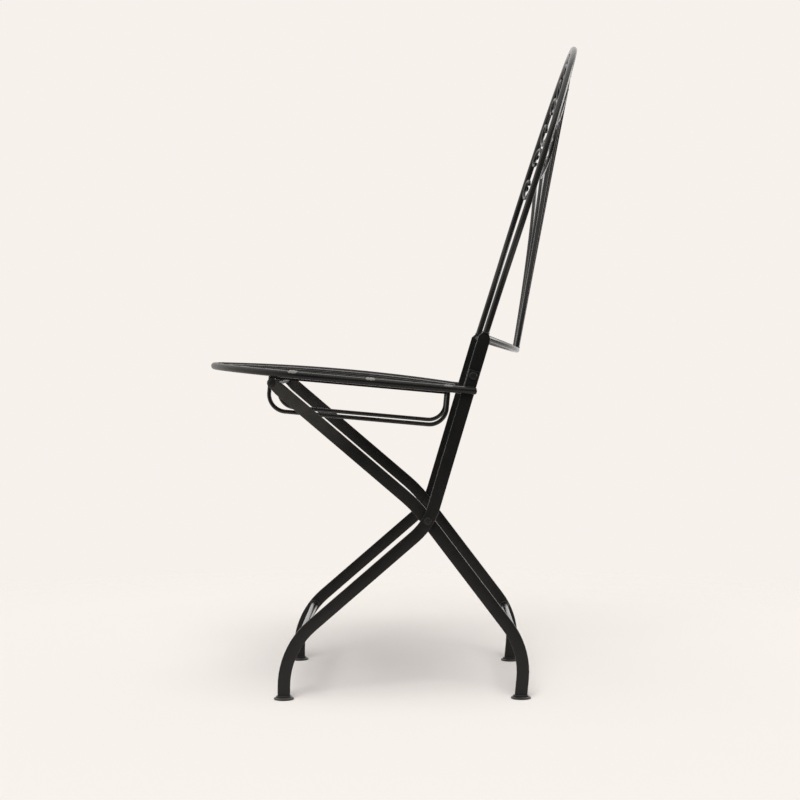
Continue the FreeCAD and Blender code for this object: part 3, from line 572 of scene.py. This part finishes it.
# guides, runners and the rod that slides between them; lengths along the seat start at the hinge
slide = {
    "guideFront": 0.286,
    "guideRear": 0.031,
    "guideRadius": 0.003,
    "guideDepth": 0.055,
    "guideBend": 0.025,
    "guideX": 0.096,
    "rodRadius": 0.0045,
    "gap": 0.00035,
    "endPlay": 0.0005,
    "runnerBottom": -0.0300,
    "runnerThickness": 0.005,
}
rodSeat = np.array((
    0,
    -(slide["guideFront"] - slide["guideRadius"] - slide["rodRadius"] - slide["gap"]),
    slide["runnerBottom"] - slide["gap"] - slide["rodRadius"],
))
rodPlace = onSeat(rodSeat)
barProfile = flatProfile(legs["thickness"], legs["width"], legs["rounding"])


# upright: full width up to the shoulder, then a straight taper to the width of the hoop rod
def uprightPath():
    foot = legs["frontFoot"]
    return filled(bentPath([
        ((0, foot, chair["footTop"]), 0),
        ((0, foot, legs["frontKnee"]), legs["frontKneeRadius"]),
        (chair["waist"], legs["waistRadius"]),
        (chair["top"] - uprightWay * legs["shoulder"], 0),
    ]), legs["step"])


def makeUpright(word, side):
    path = uprightPath()
    narrow = legs["shoulderWidth"] / legs["width"]
    wide = np.concatenate([np.ones(len(path)), [narrow, narrow * legs["tipShare"]]])
    path = np.concatenate([path, [chair["top"] - uprightWay * legs["tip"], chair["top"]]])
    surface = sweep(shifted(path, side * chair["barPlane"]), acrossX, barProfile, wide)
    makePiece(word + "Upright", [surface], "back_frame", paints["barPaint"],
              [word + "_upright_bar"])


# the bar narrows evenly to an eye and ends in a half round: rings shrink as a half circle
def eyeEnd(path, centre):
    way = unit(path[-1] - path[-2])
    narrow = legs["eyeRadius"] / (legs["width"] / 2)
    angles = np.radians(np.linspace(0, 88, 12))
    ends = centre + way * (legs["eyeRadius"] * np.sin(angles))[:, None]
    straight = path[(path - centre) @ way < -legs["eyeTaper"] - 0.001]
    start = centre - way * legs["eyeTaper"]
    wide = np.concatenate([np.ones(len(straight) + 1), narrow * np.cos(angles)])
    return np.concatenate([straight, [start], ends]), wide


def rearPath():
    crossing = chair["crossing"]
    return filled(bentPath([
        ((0, legs["rearFoot"], chair["footTop"]), 0),
        ((0, *legs["rearKnee"]), legs["rearKneeRadius"]),
        (crossing + (0, *legs["rearBend"]), legs["rearBendRadius"]),
        (rodPlace, 0),
    ]), legs["step"])


# worn towards the eye, where the bar is held; the lighter paint there is partly wear, partly a painted
# sheen on the upper bar
def makeRearLeg(word, side):
    path, wide = eyeEnd(rearPath(), rodPlace)
    surface = sweep(shifted(path, side * chair["innerPlane"]), acrossX, barProfile, wide)
    toEye = np.linalg.norm(path - rodPlace, axis=1)
    fade = np.clip((legs["wornSheenEnd"] - toEye) / (legs["wornSheenEnd"] - legs["wornSheenFull"]), 0, 1)
    wornAndSheen = np.broadcast_to(legs["wornSheenShare"] * fade[:, None], surface[1].shape)
    makePiece(word + "RearLeg", [surface], "rear_legs", paints["barPaint"],
              [word + "_rear_leg_bar"], wornAndSheen)


for word, side in (("left", -1), ("right", 1)):
    makeUpright(word, side)
    makeRearLeg(word, side)
print("leg bars bent")

# round stretchers between the legs, and the rod that slides under the seat
stretchers = {"radius": 0.005, "frontZ": 0.087, "rearZ": 0.086}


# how far back a path lies at a height
def depthAt(path, z):
    return np.interp(z, path[:, 2], path[:, 1])


def crossPath(y, z, half):
    return np.array([(-half, y, z), (half, y, z)])


halfBar = legs["thickness"] / 2
frontHalf = chair["barPlane"] - halfBar
rearHalf = chair["innerPlane"] - halfBar
frontRod = (depthAt(uprightPath(), stretchers["frontZ"]), stretchers["frontZ"])
rearRod = (depthAt(rearPath(), stretchers["rearZ"]), stretchers["rearZ"])
upZ = np.array((0.0, 0.0, 1.0))
makePiece("frontStretcher", [rod(crossPath(*frontRod, frontHalf), upZ, stretchers["radius"])],
          "back_frame", paints["rodPaint"], ["front_stretcher"])
makePiece("rearStretcher", [rod(crossPath(*rearRod, rearHalf), upZ, stretchers["radius"])],
          "rear_legs", paints["rodPaint"], ["rear_stretcher"])
slideHalf = rearHalf - slide["endPlay"]
makePiece("slideRod", [rod(crossPath(rodPlace[1], rodPlace[2], slideHalf), upZ, slide["rodRadius"])],
          "slide_rod", paints["slidePaint"], ["slide_rod"])

# foot discs and rivets: turned profiles of (radius, height)
feet = {"radius": 0.014, "base": 0.0120, "top": 0.0105, "edgeLow": 0.0010, "edgeHigh": 0.0020}
rivets = {
    "shank": 0.004,
    "head": 0.006,
    "height": 0.0026,
    "pinHead": 0.005,
    "pinHeight": 0.0015,
    "play": 0.00015,
    "proud": 0.0003,
}
pole = 0.0003                   # turned profiles end this close to their axis


def footProfile():
    radius, height = feet["radius"], chair["footTop"]
    return [
        (pole, 0), (feet["base"], 0), (radius - 0.0007, 0.0004), (radius, feet["edgeLow"]),
        (radius, feet["edgeHigh"]), (radius - 0.0006, 0.0025), (feet["top"], height), (pole, height),
    ]


def makeFoot(name, node, x, y, body):
    makePiece(name, [turnedPiece(footProfile(), (x, y, 0), upZ)], body, paints["footPaint"], [node])


# a domed head: radius falls as a cosine to the power 0.7 while height rises as a sine
def dome(radius, height, start, count=9):
    angles = np.linspace(0, math.pi / 2 - 0.02, count)
    return np.stack([radius * np.cos(angles) ** 0.7, start + height * np.sin(angles)], -1)


def rivetProfile(inner, outer, head, height, innerHead):
    shank, proud = rivets["shank"], rivets["proud"]
    high = outer + rivets["play"]
    top = dome(head, height, high)
    if not innerHead:
        low = inner - proud
        return np.concatenate([[(pole, low), (shank - 2 * proud, low), (shank, inner), (shank, high)], top])
    low = inner - rivets["play"]
    bottom = dome(head, height, 0) * (1, -1) + (0, low)
    return np.concatenate([bottom[::-1], [(shank, low), (shank, high)], top])


# hinge plates of the seat, which the hinge rivets reach through
lug = {
    "width": 0.016,
    "thickness": 0.004,
    "rounding": 0.0011,
    "top": 0.008,
    "aboveRim": 0.0025,
    "intoRim": 0.003,
    "play": 0.0006,
}
lugInner = chair["barPlane"] + halfBar + lug["play"]
lugOuter = lugInner + lug["thickness"]
for word, side in (("left", -1), ("right", 1)):
    outer = chair["barPlane"] + halfBar
    innerOuter = chair["innerPlane"] + halfBar
    way = (side, 0, 0)
    makeFoot(word + "FrontFoot", word + "_front_foot", side * chair["barPlane"], legs["frontFoot"],
             "back_frame")
    makeFoot(word + "RearFoot", word + "_rear_foot", side * chair["innerPlane"], legs["rearFoot"],
             "rear_legs")
    profile = rivetProfile(rearHalf, outer, rivets["head"], rivets["height"], True)
    makePiece(word + "CrossingRivet", [turnedPiece(profile, chair["crossing"], way)],
              "back_frame", paints["rivetPaint"], [word + "_crossing_rivet"])
    profile = rivetProfile(frontHalf, lugOuter, rivets["head"], rivets["height"], False)
    makePiece(word + "HingeRivet", [turnedPiece(profile, hinge, way)],
              "back_frame", paints["rivetPaint"], [word + "_seat_hinge_rivet"])
    profile = rivetProfile(rearHalf, innerOuter, rivets["pinHead"], rivets["pinHeight"], False)
    makePiece(word + "SlideRivet", [turnedPiece(profile, rodPlace, way)],
              "rear_legs", paints["rivetPaint"], [word + "_slide_rod_rivet"])
print("feet and rivets turned")

# back: hoop, bowed rail, scrolls and fan
back = {
    "hoopRadius": 0.0045,
    "hoopHeight": 0.438,
    "hoopRun": 0.1337,
    "hoopNeck": 0.064,
    "hoopSwell": 0.178,
    "swellOut": 0.036,
    "neckBend": 0.210,
    "crownBend": 0.198,
    "railRadius": 0.004,
    "railBelowTop": 0.006,
    "railBow": 0.056,
    "railSlope": 19.0,
}
hoopLean = math.degrees(math.asin(back["hoopRun"] / back["hoopHeight"]))


def onHoop(points):
    return leaned(points, chair["top"], hoopLean)


def hoopPath():
    inner, outer = chair["barPlane"], chair["barPlane"] + back["swellOut"]
    corners = [
        (inner, 0.0, 0),
        (inner, back["hoopNeck"], back["neckBend"]),
        (outer, back["hoopSwell"], back["neckBend"]),
        (outer, back["hoopHeight"], back["crownBend"]),
    ]
    right = [((x, 0, z), radius) for x, z, radius in corners]
    left = [((-x, 0, z), radius) for x, z, radius in reversed(corners)]
    return onHoop(bentPath(right + left, math.radians(2)))


hoopSide = onHoop((0, 1, 0)) - chair["top"]
makePiece("backHoop", [rod(hoopPath(), hoopSide, back["hoopRadius"], count=24)],
          "back_frame", paints["rodPaint"], ["back_hoop"])

railOrigin = chair["top"] - uprightWay * back["railBelowTop"]
railCurve = (frontHalf ** 2 + back["railBow"] ** 2) / (2 * back["railBow"])


# the rail is an arc: depth = bow - R + sqrt(R^2 - x^2), in a plane that falls backwards
def onRail(x):
    x = np.asarray(x, float)
    depth = back["railBow"] - railCurve + np.sqrt(railCurve ** 2 - x ** 2)
    return leaned(np.stack([x, depth, 0 * x], -1), railOrigin, back["railSlope"])


railUp = leaned((0, 0, 1), (0, 0, 0), back["railSlope"])


# the end rings slide along the rail until they lie flat on the uprights
def railSurface():
    path = onRail(np.linspace(frontHalf, -frontHalf, 41))
    grid, edge, closed = sweep(path, railUp, roundProfile(back["railRadius"], 20))
    for end, beside, x in ((0, 1, frontHalf), (-1, -2, -frontHalf)):
        step = grid[end] - grid[beside]
        grid[end] = grid[beside] + step * ((x - grid[beside][:, :1]) / step[:, :1])
    return grid, edge, closed


rail = railSurface()
makePiece("bottomRail", [rail], "back_frame", paints["rodPaint"], ["back_bottom_rail"])

scrolls = {
    "radius": 0.0025,
    "arcs": ((0.050, 45.0), (0.0165, 150.0), (0.009, 140.0)),    # belly, turn, eye: radius, degrees
    "firstAngle": 9.0,
    "stepAngle": 29.5,
    "gap": 0.0001,
    "each": 3,
}
crownX = chair["barPlane"] + back["swellOut"] - back["crownBend"]
crownZ = back["hoopHeight"] - back["crownBend"]


# half a scroll from its belly: arcs that each turn on from the last, tighter and tighter
def halfScroll():
    point = np.zeros(2)
    heading = math.pi / 2
    pieces, centres = [], []
    for radius, degrees in scrolls["arcs"]:
        centre = point + radius * np.array((math.sin(heading), -math.cos(heading)))
        turn = heading - np.linspace(0, math.radians(degrees), 24)
        arc = centre - radius * np.stack([np.sin(turn), -np.cos(turn)], -1)
        pieces.append(arc if not pieces else arc[1:])
        centres.append(centre)
        point, heading = arc[-1], turn[-1]
    return np.concatenate(pieces), centres[1]


scrollHalf, turnCentre = halfScroll()
insideHoop = back["crownBend"] - back["hoopRadius"]
turnOut = scrolls["arcs"][1][0] + scrolls["radius"] + scrolls["gap"]
scrollOut = insideHoop + turnCentre[0] - math.sqrt((insideHoop - turnOut) ** 2 - turnCentre[1] ** 2)


# how far the bowed back lies behind the hoop's plane
def bowBehind(x, z):
    half = crownX + math.sqrt(back["crownBend"] ** 2 - max(0.0, z - crownZ) ** 2)
    return back["railBow"] * (1 - z / back["hoopHeight"]) * (1 - (x / half) ** 2)


# a scroll stands on the hoop's round at an angle and leans back with the bow
def scrollFrame(degrees):
    angle = math.radians(degrees)
    outward = np.array((math.cos(angle), 0, math.sin(angle)))
    along = np.array((-outward[2], 0, outward[0]))
    foot = np.array((crownX, 0, crownZ)) + outward * insideHoop
    belly = foot - outward * scrollOut
    lean = math.atan2(bowBehind(belly[0], belly[2]), scrollOut)
    leaning = outward * math.cos(lean) - np.array((0, 1, 0)) * math.sin(lean)
    return foot, leaning, along


def scrollPoints(degrees, flat):
    foot, leaning, along = scrollFrame(degrees)
    flat = np.atleast_2d(flat)
    return onHoop(foot + leaning * (flat[:, :1] - scrollOut) + along * flat[:, 1:])


scrollPath = np.concatenate([scrollHalf[::-1] * (1, -1), scrollHalf[1:]])
scrollAngles = [scrolls["firstAngle"] + k * scrolls["stepAngle"] for k in range(scrolls["each"])]
for number, degrees in enumerate(scrollAngles, 1):
    path = scrollPoints(degrees, scrollPath)
    normal = unit(np.cross(path[10] - path[0], path[20] - path[0]))
    surface = rod(path, normal, scrolls["radius"], tip=0.002, count=16, step=0.02)
    for word, made in (("right", surface), ("left", flipped(surface))):
        makePiece(f"{word}Scroll{number}", [made], "back_frame", paints["rodPaint"],
                  [f"{word}_back_scroll_{number}"])

fan = {
    "radius": 0.003,
    "centreRadius": 0.0035,
    "pitch": 0.011,
    "intoRail": 0.001,
    "curl": 0.40,               # how far the side rods keep to the middle before they spread
    "meets": (0.5, 0.5, 0.0),   # on the scrolls: 0 at the middle of the belly, 1 at its lower end
}
fanFoot = onRail(0.0)
fanHead = onHoop((0, 0, back["hoopHeight"]))
fanWay = unit(fanHead - fanFoot)
fanStart = back["railRadius"] - fan["intoRail"]
centrePath = np.array([fanFoot + fanWay * fanStart, fanHead - fanWay * back["hoopRadius"]])
makePiece("fanCentre", [rod(centrePath, acrossX, fan["centreRadius"])],
          "back_frame", paints["rodPaint"], ["back_fan_centre_rod"])


# a place on the lower half of a scroll's belly, as a share of that half
def bellyPoint(degrees, share):
    radius, spread = scrolls["arcs"][0]
    angle = math.radians(spread * share)
    return scrollPoints(degrees, (radius * (1 - math.cos(angle)), -radius * math.sin(angle)))[0]


# a fan rod is the circle through its foot on the rail, a middle point and the scroll that it meets
def fanPath(steps):
    start = onRail(steps * fan["pitch"])
    end = bellyPoint(scrollAngles[scrolls["each"] - steps], fan["meets"][steps - 1])
    chord = end - start
    middle = start + chord / 2 + (fanWay * (chord @ fanWay) - chord) / 2 * fan["curl"]
    path = arcThrough(start, middle, end)
    along = runLength(path)
    places = np.append(fanStart, along[along > fanStart])
    return pathAt(path, along, places)


fanLabels = ("Inner", "Middle", "Outer")
for steps, label in enumerate(fanLabels, 1):
    path = fanPath(steps)
    surface = rod(path, unit(np.cross(path[20] - path[0], path[-1] - path[0])), fan["radius"], count=16)
    for word, made in (("right", surface), ("left", flipped(surface))):
        makePiece(f"{word}Fan{label}", [made], "back_frame", paints["rodPaint"],
                  [f"{word}_fan_{label.lower()}_rod"])
print("back bent and filled")

# seat: rim, slats and cross bars on a shallow dome, lugs, guides and runners
seat = {
    "rimRadius": 0.005,
    "rearHalf": 0.1773,
    "frontHalf": 0.1925,
    "tail": 0.007,
    "reach": 0.376,
    "cornerRadius": 0.180,
    "crown": 0.0065,
    "slatWidth": 0.020,
    "slatThickness": 0.003,
    "slatRounding": 0.0011,
    "slatPitch": 0.032,
    "slatRear": 0.022,
    "slatAbove": 0.0005,
    "slatsEachSide": 5,
    "barWidth": 0.020,
    "barThickness": 0.004,
    "firstBar": 0.033,
    "barPitch": 0.1085,
    "gap": 0.0001,
    "rimGap": 0.00025,
    "wornSheenFrom": -0.150,         # the rim's paint is lighter from here to the front, as wear and as a painted highlight, in metres along the chair
    "wornSheenTo": -0.262,
    "thighSlats": (3, 9),
}


def rimPath():
    z = -chair["seatDrop"]
    right = [
        ((seat["rearHalf"], seat["tail"], z), 0),
        ((seat["frontHalf"], -seat["reach"], z), seat["cornerRadius"]),
    ]
    left = [((-point[0], *point[1:]), radius) for point, radius in reversed(right)]
    return onSeat(bentPath(right + left, math.radians(2)))


seatUp = onSeat((0, 0, 1)) - hinge
rim = rod(rimPath(), seatUp, seat["rimRadius"], tip=0.003, count=24)
# the front of the rim is painted lighter: worn paint and a painted highlight
rimWornSheen = np.clip((rim[0][..., 1] - seat["wornSheenFrom"]) / (seat["wornSheenTo"] - seat["wornSheenFrom"]), 0, 1)
makePiece("seatRim", [rim], "seat", paints["rimPaint"], ["seat_rim"], rimWornSheen)

inset = seat["rimRadius"] + seat["rimGap"]
splay = (seat["frontHalf"] - seat["rearHalf"]) / (seat["reach"] + seat["tail"])
arcY = -seat["reach"] + seat["cornerRadius"]
arcX = seat["rearHalf"] + splay * (seat["tail"] - arcY) - seat["cornerRadius"] * math.hypot(1, splay)
insideRadius = seat["cornerRadius"] - inset
domeSpan = seat["frontHalf"] - inset
domeRadius = (domeSpan ** 2 + seat["crown"] ** 2) / (2 * seat["crown"])
domeTop = seat["rimRadius"] - chair["seatDrop"] + seat["slatAbove"] + seat["crown"]
domeY = -(seat["reach"] - seat["frontHalf"])


def domeHeight(x, y, depth):
    return domeTop - domeRadius + np.sqrt((domeRadius - depth) ** 2 - x ** 2 - (y - domeY) ** 2)


# inner edge of the rim: straight sides, then the round front
def frontEdge(x):
    beyond = np.clip(np.abs(x) - arcX, 0, None)
    return arcY - np.sqrt(insideRadius ** 2 - beyond ** 2)


def sideEdge(y):
    straight = seat["rearHalf"] + splay * (seat["tail"] - y) - inset
    curved = arcX + np.sqrt(np.clip(insideRadius ** 2 - (y - arcY) ** 2, 0, None))
    return np.where(y > arcY, straight, curved)


# shares of a strip's length with a few close rings at each end, and how much the rings shrink there
def stripShares(count, soft=0.004):
    end = np.array([0, soft / 3, soft])
    shares = np.concatenate([end, np.linspace(0.03, 0.97, count), 1 - end[::-1]])
    scale = np.ones(len(shares))
    scale[[0, 1, -2, -1]] = (0.55, 0.85, 0.85, 0.55)
    return shares[:, None], scale[:, None]


# a strip on the dome, from the rear to the front edge of the rim
def makeSlat(number):
    x0 = (number - seat["slatsEachSide"] - 1) * seat["slatPitch"]
    points, edge = flatProfile(seat["slatWidth"], seat["slatThickness"], seat["slatRounding"])
    shares, scale = stripShares(40)
    x = x0 + points[:, 0]
    y = -seat["slatRear"] + shares * (frontEdge(x) + seat["slatRear"])
    x = np.broadcast_to(x, y.shape)
    z = domeHeight(x, y, seat["slatThickness"] / 2) + points[:, 1] * scale
    grid = onSeat(np.stack([x, y, z], -1))
    paint = paints["thighPaint" if number in seat["thighSlats"] else "seatPaint"]
    makePiece(f"slat{number:02d}", [(grid, np.broadcast_to(edge, y.shape), False)],
              "seat", paint, [f"seat_slat_{number:02d}"])


# a strip under the slats, from side to side
def makeCrossBar(word, y0):
    points, edge = flatProfile(seat["barWidth"], seat["barThickness"], seat["slatRounding"])
    shares, scale = stripShares(50)
    y = y0 + points[:, 0]
    x = (2 * shares - 1) * sideEdge(y)
    y = np.broadcast_to(y, x.shape)
    depth = seat["slatThickness"] + seat["gap"] + seat["barThickness"] / 2
    z = domeHeight(x, y, depth) + points[:, 1] * scale
    grid = onSeat(np.stack([x, y, z], -1))
    makePiece(word + "CrossBar", [(grid, np.broadcast_to(edge, x.shape), False)],
              "seat", paints["seatPaint"], [word + "_cross_bar"])


slatCount = 2 * seat["slatsEachSide"] + 1
for number in range(1, slatCount + 1):
    makeSlat(number)
barPlaces = [-seat["firstBar"] - k * seat["barPitch"] for k in range(3)]
for word, y in zip(("rear", "middle", "front"), barPlaces):
    makeCrossBar(word, y)

barDepth = seat["slatThickness"] + seat["gap"] + seat["barThickness"]
lugUp = leaned(uprightWay, (0, 0, 0), -chair["seatSlope"])


# hinge plate: leans with the upright, stands in the rim; its top is rounded off as a quarter circle
def makeLug(word, side):
    x = np.array((side * (lugInner + lugOuter) / 2, 0, 0))
    low = (lug["aboveRim"] - chair["seatDrop"] - lug["intoRim"]) / lugUp[2]
    angles = np.radians(np.linspace(0, 80, 5))
    rise = np.concatenate([[low, low / 2], lug["top"] - lug["rounding"] * (1 - np.sin(angles))])
    shrink = np.concatenate([[0, 0], lug["rounding"] * (1 - np.cos(angles))])
    profile = flatProfile(lug["thickness"], lug["width"], lug["rounding"])
    surface = sweep(onSeat(x + lugUp * rise[:, None]), acrossX, profile,
                    1 - shrink / (lug["width"] / 2), 1 - shrink / (lug["thickness"] / 2))
    makePiece(word + "HingeLug", [surface], "seat", paints["barPaint"],
              [word + "_seat_hinge_lug"])


def guidePath():
    x = slide["guideX"]
    front, rear = -slide["guideFront"], -slide["guideRear"]
    low = -chair["seatDrop"] - slide["guideDepth"]
    frontTop = domeHeight(x, front, seat["slatThickness"])
    rearTop = domeHeight(x, rear, barDepth)
    corners = [((x, front, frontTop), 0), ((x, front, low), slide["guideBend"]),
               ((x, rear, low), slide["guideBend"]), ((x, rear, rearTop), 0)]
    return onSeat(bentPath(corners))


# bearing strip: from a straight lower edge up to the underside of the cross bars
def runnerSurface():
    points, edge = flatProfile(slide["runnerThickness"], 2.0, 0.001, 3)
    inside = slide["guideRadius"] + seat["gap"]
    rear, front = -slide["guideRear"] - inside, -slide["guideFront"] + inside
    shares, scale = stripShares(20)
    y = np.broadcast_to(rear + shares * (front - rear), (len(shares), len(points)))
    x = slide["guideX"] + points[:, 0] * scale
    top = domeHeight(slide["guideX"], y, barDepth + seat["gap"])
    z = slide["runnerBottom"] + (top - slide["runnerBottom"]) * (points[:, 1] + 1) / 2
    return onSeat(np.stack([x, y, z], -1)), np.broadcast_to(edge, y.shape), False


guide = rod(guidePath(), acrossX, slide["guideRadius"], count=16)
runner = runnerSurface()
for word, side in (("left", -1), ("right", 1)):
    makeLug(word, side)
    made = guide if side > 0 else flipped(guide)
    makePiece(word + "Guide", [made], "seat", paints["rodPaint"], [word + "_slide_guide"])
    made = runner if side > 0 else flipped(runner)
    makePiece(word + "Runner", [made], "seat", paints["barPaint"], [word + "_slide_runner"])
print("seat filled,", slatCount, "slats")

# welds: beads where rods and strips meet; size is the bead's radius
welds = {
    "leg": 0.0017,
    "rod": 0.0009,
    "fine": 0.0007,
    "tack": 0.0015,
    "padLength": 0.0135,
    "padWidths": (0.0019, 0.0030, 0.0034),  # rear, middle and front
    "padHeight": 0.0015,
    "padSink": 0.0003,
    "padTilt": 32.0,
}


# bead round the foot of a leg bar, on its disc
def footBead(x, y):
    points = flatProfile(legs["thickness"] + 0.001, legs["width"] + 0.001, 0.0018, 6)[0]
    path = np.insert(points + (x, y), 2, chair["footTop"] + 0.0004, axis=1)
    return bead(path, upZ, welds["leg"], closed=True)


# tacks where the two turns of a scroll touch the hoop, along the hoop
def scrollTacks(degrees):
    made = []
    for turn in (turnCentre, turnCentre * (1, -1)):
        middle = onHoop((crownX, 0, crownZ))
        outward = unit(scrollPoints(degrees, turn)[0] - middle)
        along = unit(np.cross(hoopSide, outward))
        touch = middle + outward * (insideHoop + 0.0003)
        made.append(bead(touch + along * np.linspace(-0.004, 0.004, 5)[:, None], hoopSide, welds["tack"]))
    return made


def backBeads():
    hoopFoot = onHoop((chair["barPlane"], 0, 0.0002))
    hoopUp = onHoop((0, 0, 1)) - chair["top"]
    made = [
        ringBead((frontHalf, *frontRod), acrossX, stretchers["radius"] + 0.0006, welds["leg"]),
        footBead(chair["barPlane"], legs["frontFoot"]),
        ringBead(hoopFoot, hoopUp, back["hoopRadius"], welds["rod"]),
        bead(rail[0][0] - (0.0004, 0, 0), acrossX, welds["rod"], closed=True),
    ]
    for steps in range(1, len(fanLabels) + 1):
        path = fanPath(steps)
        for end, way, into in (
            (path[0], unit(path[1] - path[0]), back["railRadius"] - fanStart),
            (path[-1], unit(path[-1] - path[-2]), -scrolls["radius"]),
        ):
            made.append(ringBead(end + way * into, way, fan["radius"], welds["fine"]))
    for degrees in scrollAngles:
        made += scrollTacks(degrees)
    return made


def centreBeads():
    low = fanFoot + fanWay * back["railRadius"]
    high = fanHead - fanWay * (back["hoopRadius"] + 0.0002)
    return [ringBead(end, fanWay, fan["centreRadius"], welds["fine"]) for end in (low, high)]


def legBeads():
    return [
        ringBead((rearHalf, *rearRod), acrossX, stretchers["radius"] + 0.0006, welds["leg"]),
        footBead(chair["innerPlane"], legs["rearFoot"]),
    ]


# a flat lump of weld on the rim, over the end of a cross bar: an ellipse carried along the rim
def barEndPad(y, width):
    tilt = math.radians(welds["padTilt"])
    outward = np.array((math.sin(tilt), 0, math.cos(tilt)))
    half = welds["padLength"] / 2
    shares = np.sin(np.linspace(-1, 1, 25) * math.pi / 2 * 0.985)
    middleX = sideEdge(y + shares * half) + inset
    path = np.stack([middleX, y + shares * half, np.full(25, -chair["seatDrop"])], -1)
    path += outward * (seat["rimRadius"] - welds["padSink"])
    swell = np.sqrt(1 - shares ** 4) * (1 + 0.10 * np.sin(9 * shares) + 0.06 * np.sin(23 * shares))
    across = onSeat((outward[2], 0, -outward[0])) - hinge
    points, edge = roundProfile(1.0, 16)
    ellipse = points * (width, welds["padHeight"]), edge
    return sweep(onSeat(path), across, ellipse, swell, swell)


# beads along the front ends of the slats, at the rim
def slatEndBeads():
    made = []
    for number in range(slatCount):
        x = (number - seat["slatsEachSide"]) * seat["slatPitch"] + np.linspace(-0.008, 0.008, 7)
        y = frontEdge(x) + 0.0002
        z = domeHeight(x, y, seat["slatThickness"] / 2)
        made.append(bead(onSeat(np.stack([x, y, z], -1)), seatUp, welds["tack"]))
    return made


def seatBeads():
    x, y = slide["guideX"], slide["guideFront"]
    front = onSeat((x, -y, domeHeight(x, -y, seat["slatThickness"]) - 0.0004))
    rear = onSeat((x, -slide["guideRear"], domeHeight(x, -slide["guideRear"], barDepth) - 0.0004))
    onRim = math.sqrt(seat["rimRadius"] ** 2 - (seat["rearHalf"] - lugOuter) ** 2)
    drop = chair["seatDrop"]
    lugFoot = np.array((lugOuter, lugUp[1] * -drop / lugUp[2], onRim - drop))
    return [
        ringBead(front, seatUp, slide["guideRadius"], welds["rod"]),
        ringBead(rear, seatUp, slide["guideRadius"], welds["rod"]),
        bead(onSeat(lugFoot + np.linspace(-0.008, 0.008, 9)[:, None] * (0, 1, 0)), seatUp, welds["rod"]),
    ]


weldPaint = paints["weldPaint"]
makePiece("backWelds", bothSides(backBeads()) + centreBeads(), "back_frame", weldPaint)
makePiece("legWelds", bothSides(legBeads()), "rear_legs", weldPaint)
makePiece("seatWelds", bothSides(seatBeads()) + slatEndBeads(), "seat", weldPaint)
# the weld pads on the rim take a light grey paint, a painted highlight
endPads = [barEndPad(y, width) for y, width in zip(barPlaces, welds["padWidths"])]
makePiece("barEndWelds", bothSides(endPads), "seat", paints["padHighlightPaint"])
print("welds laid")
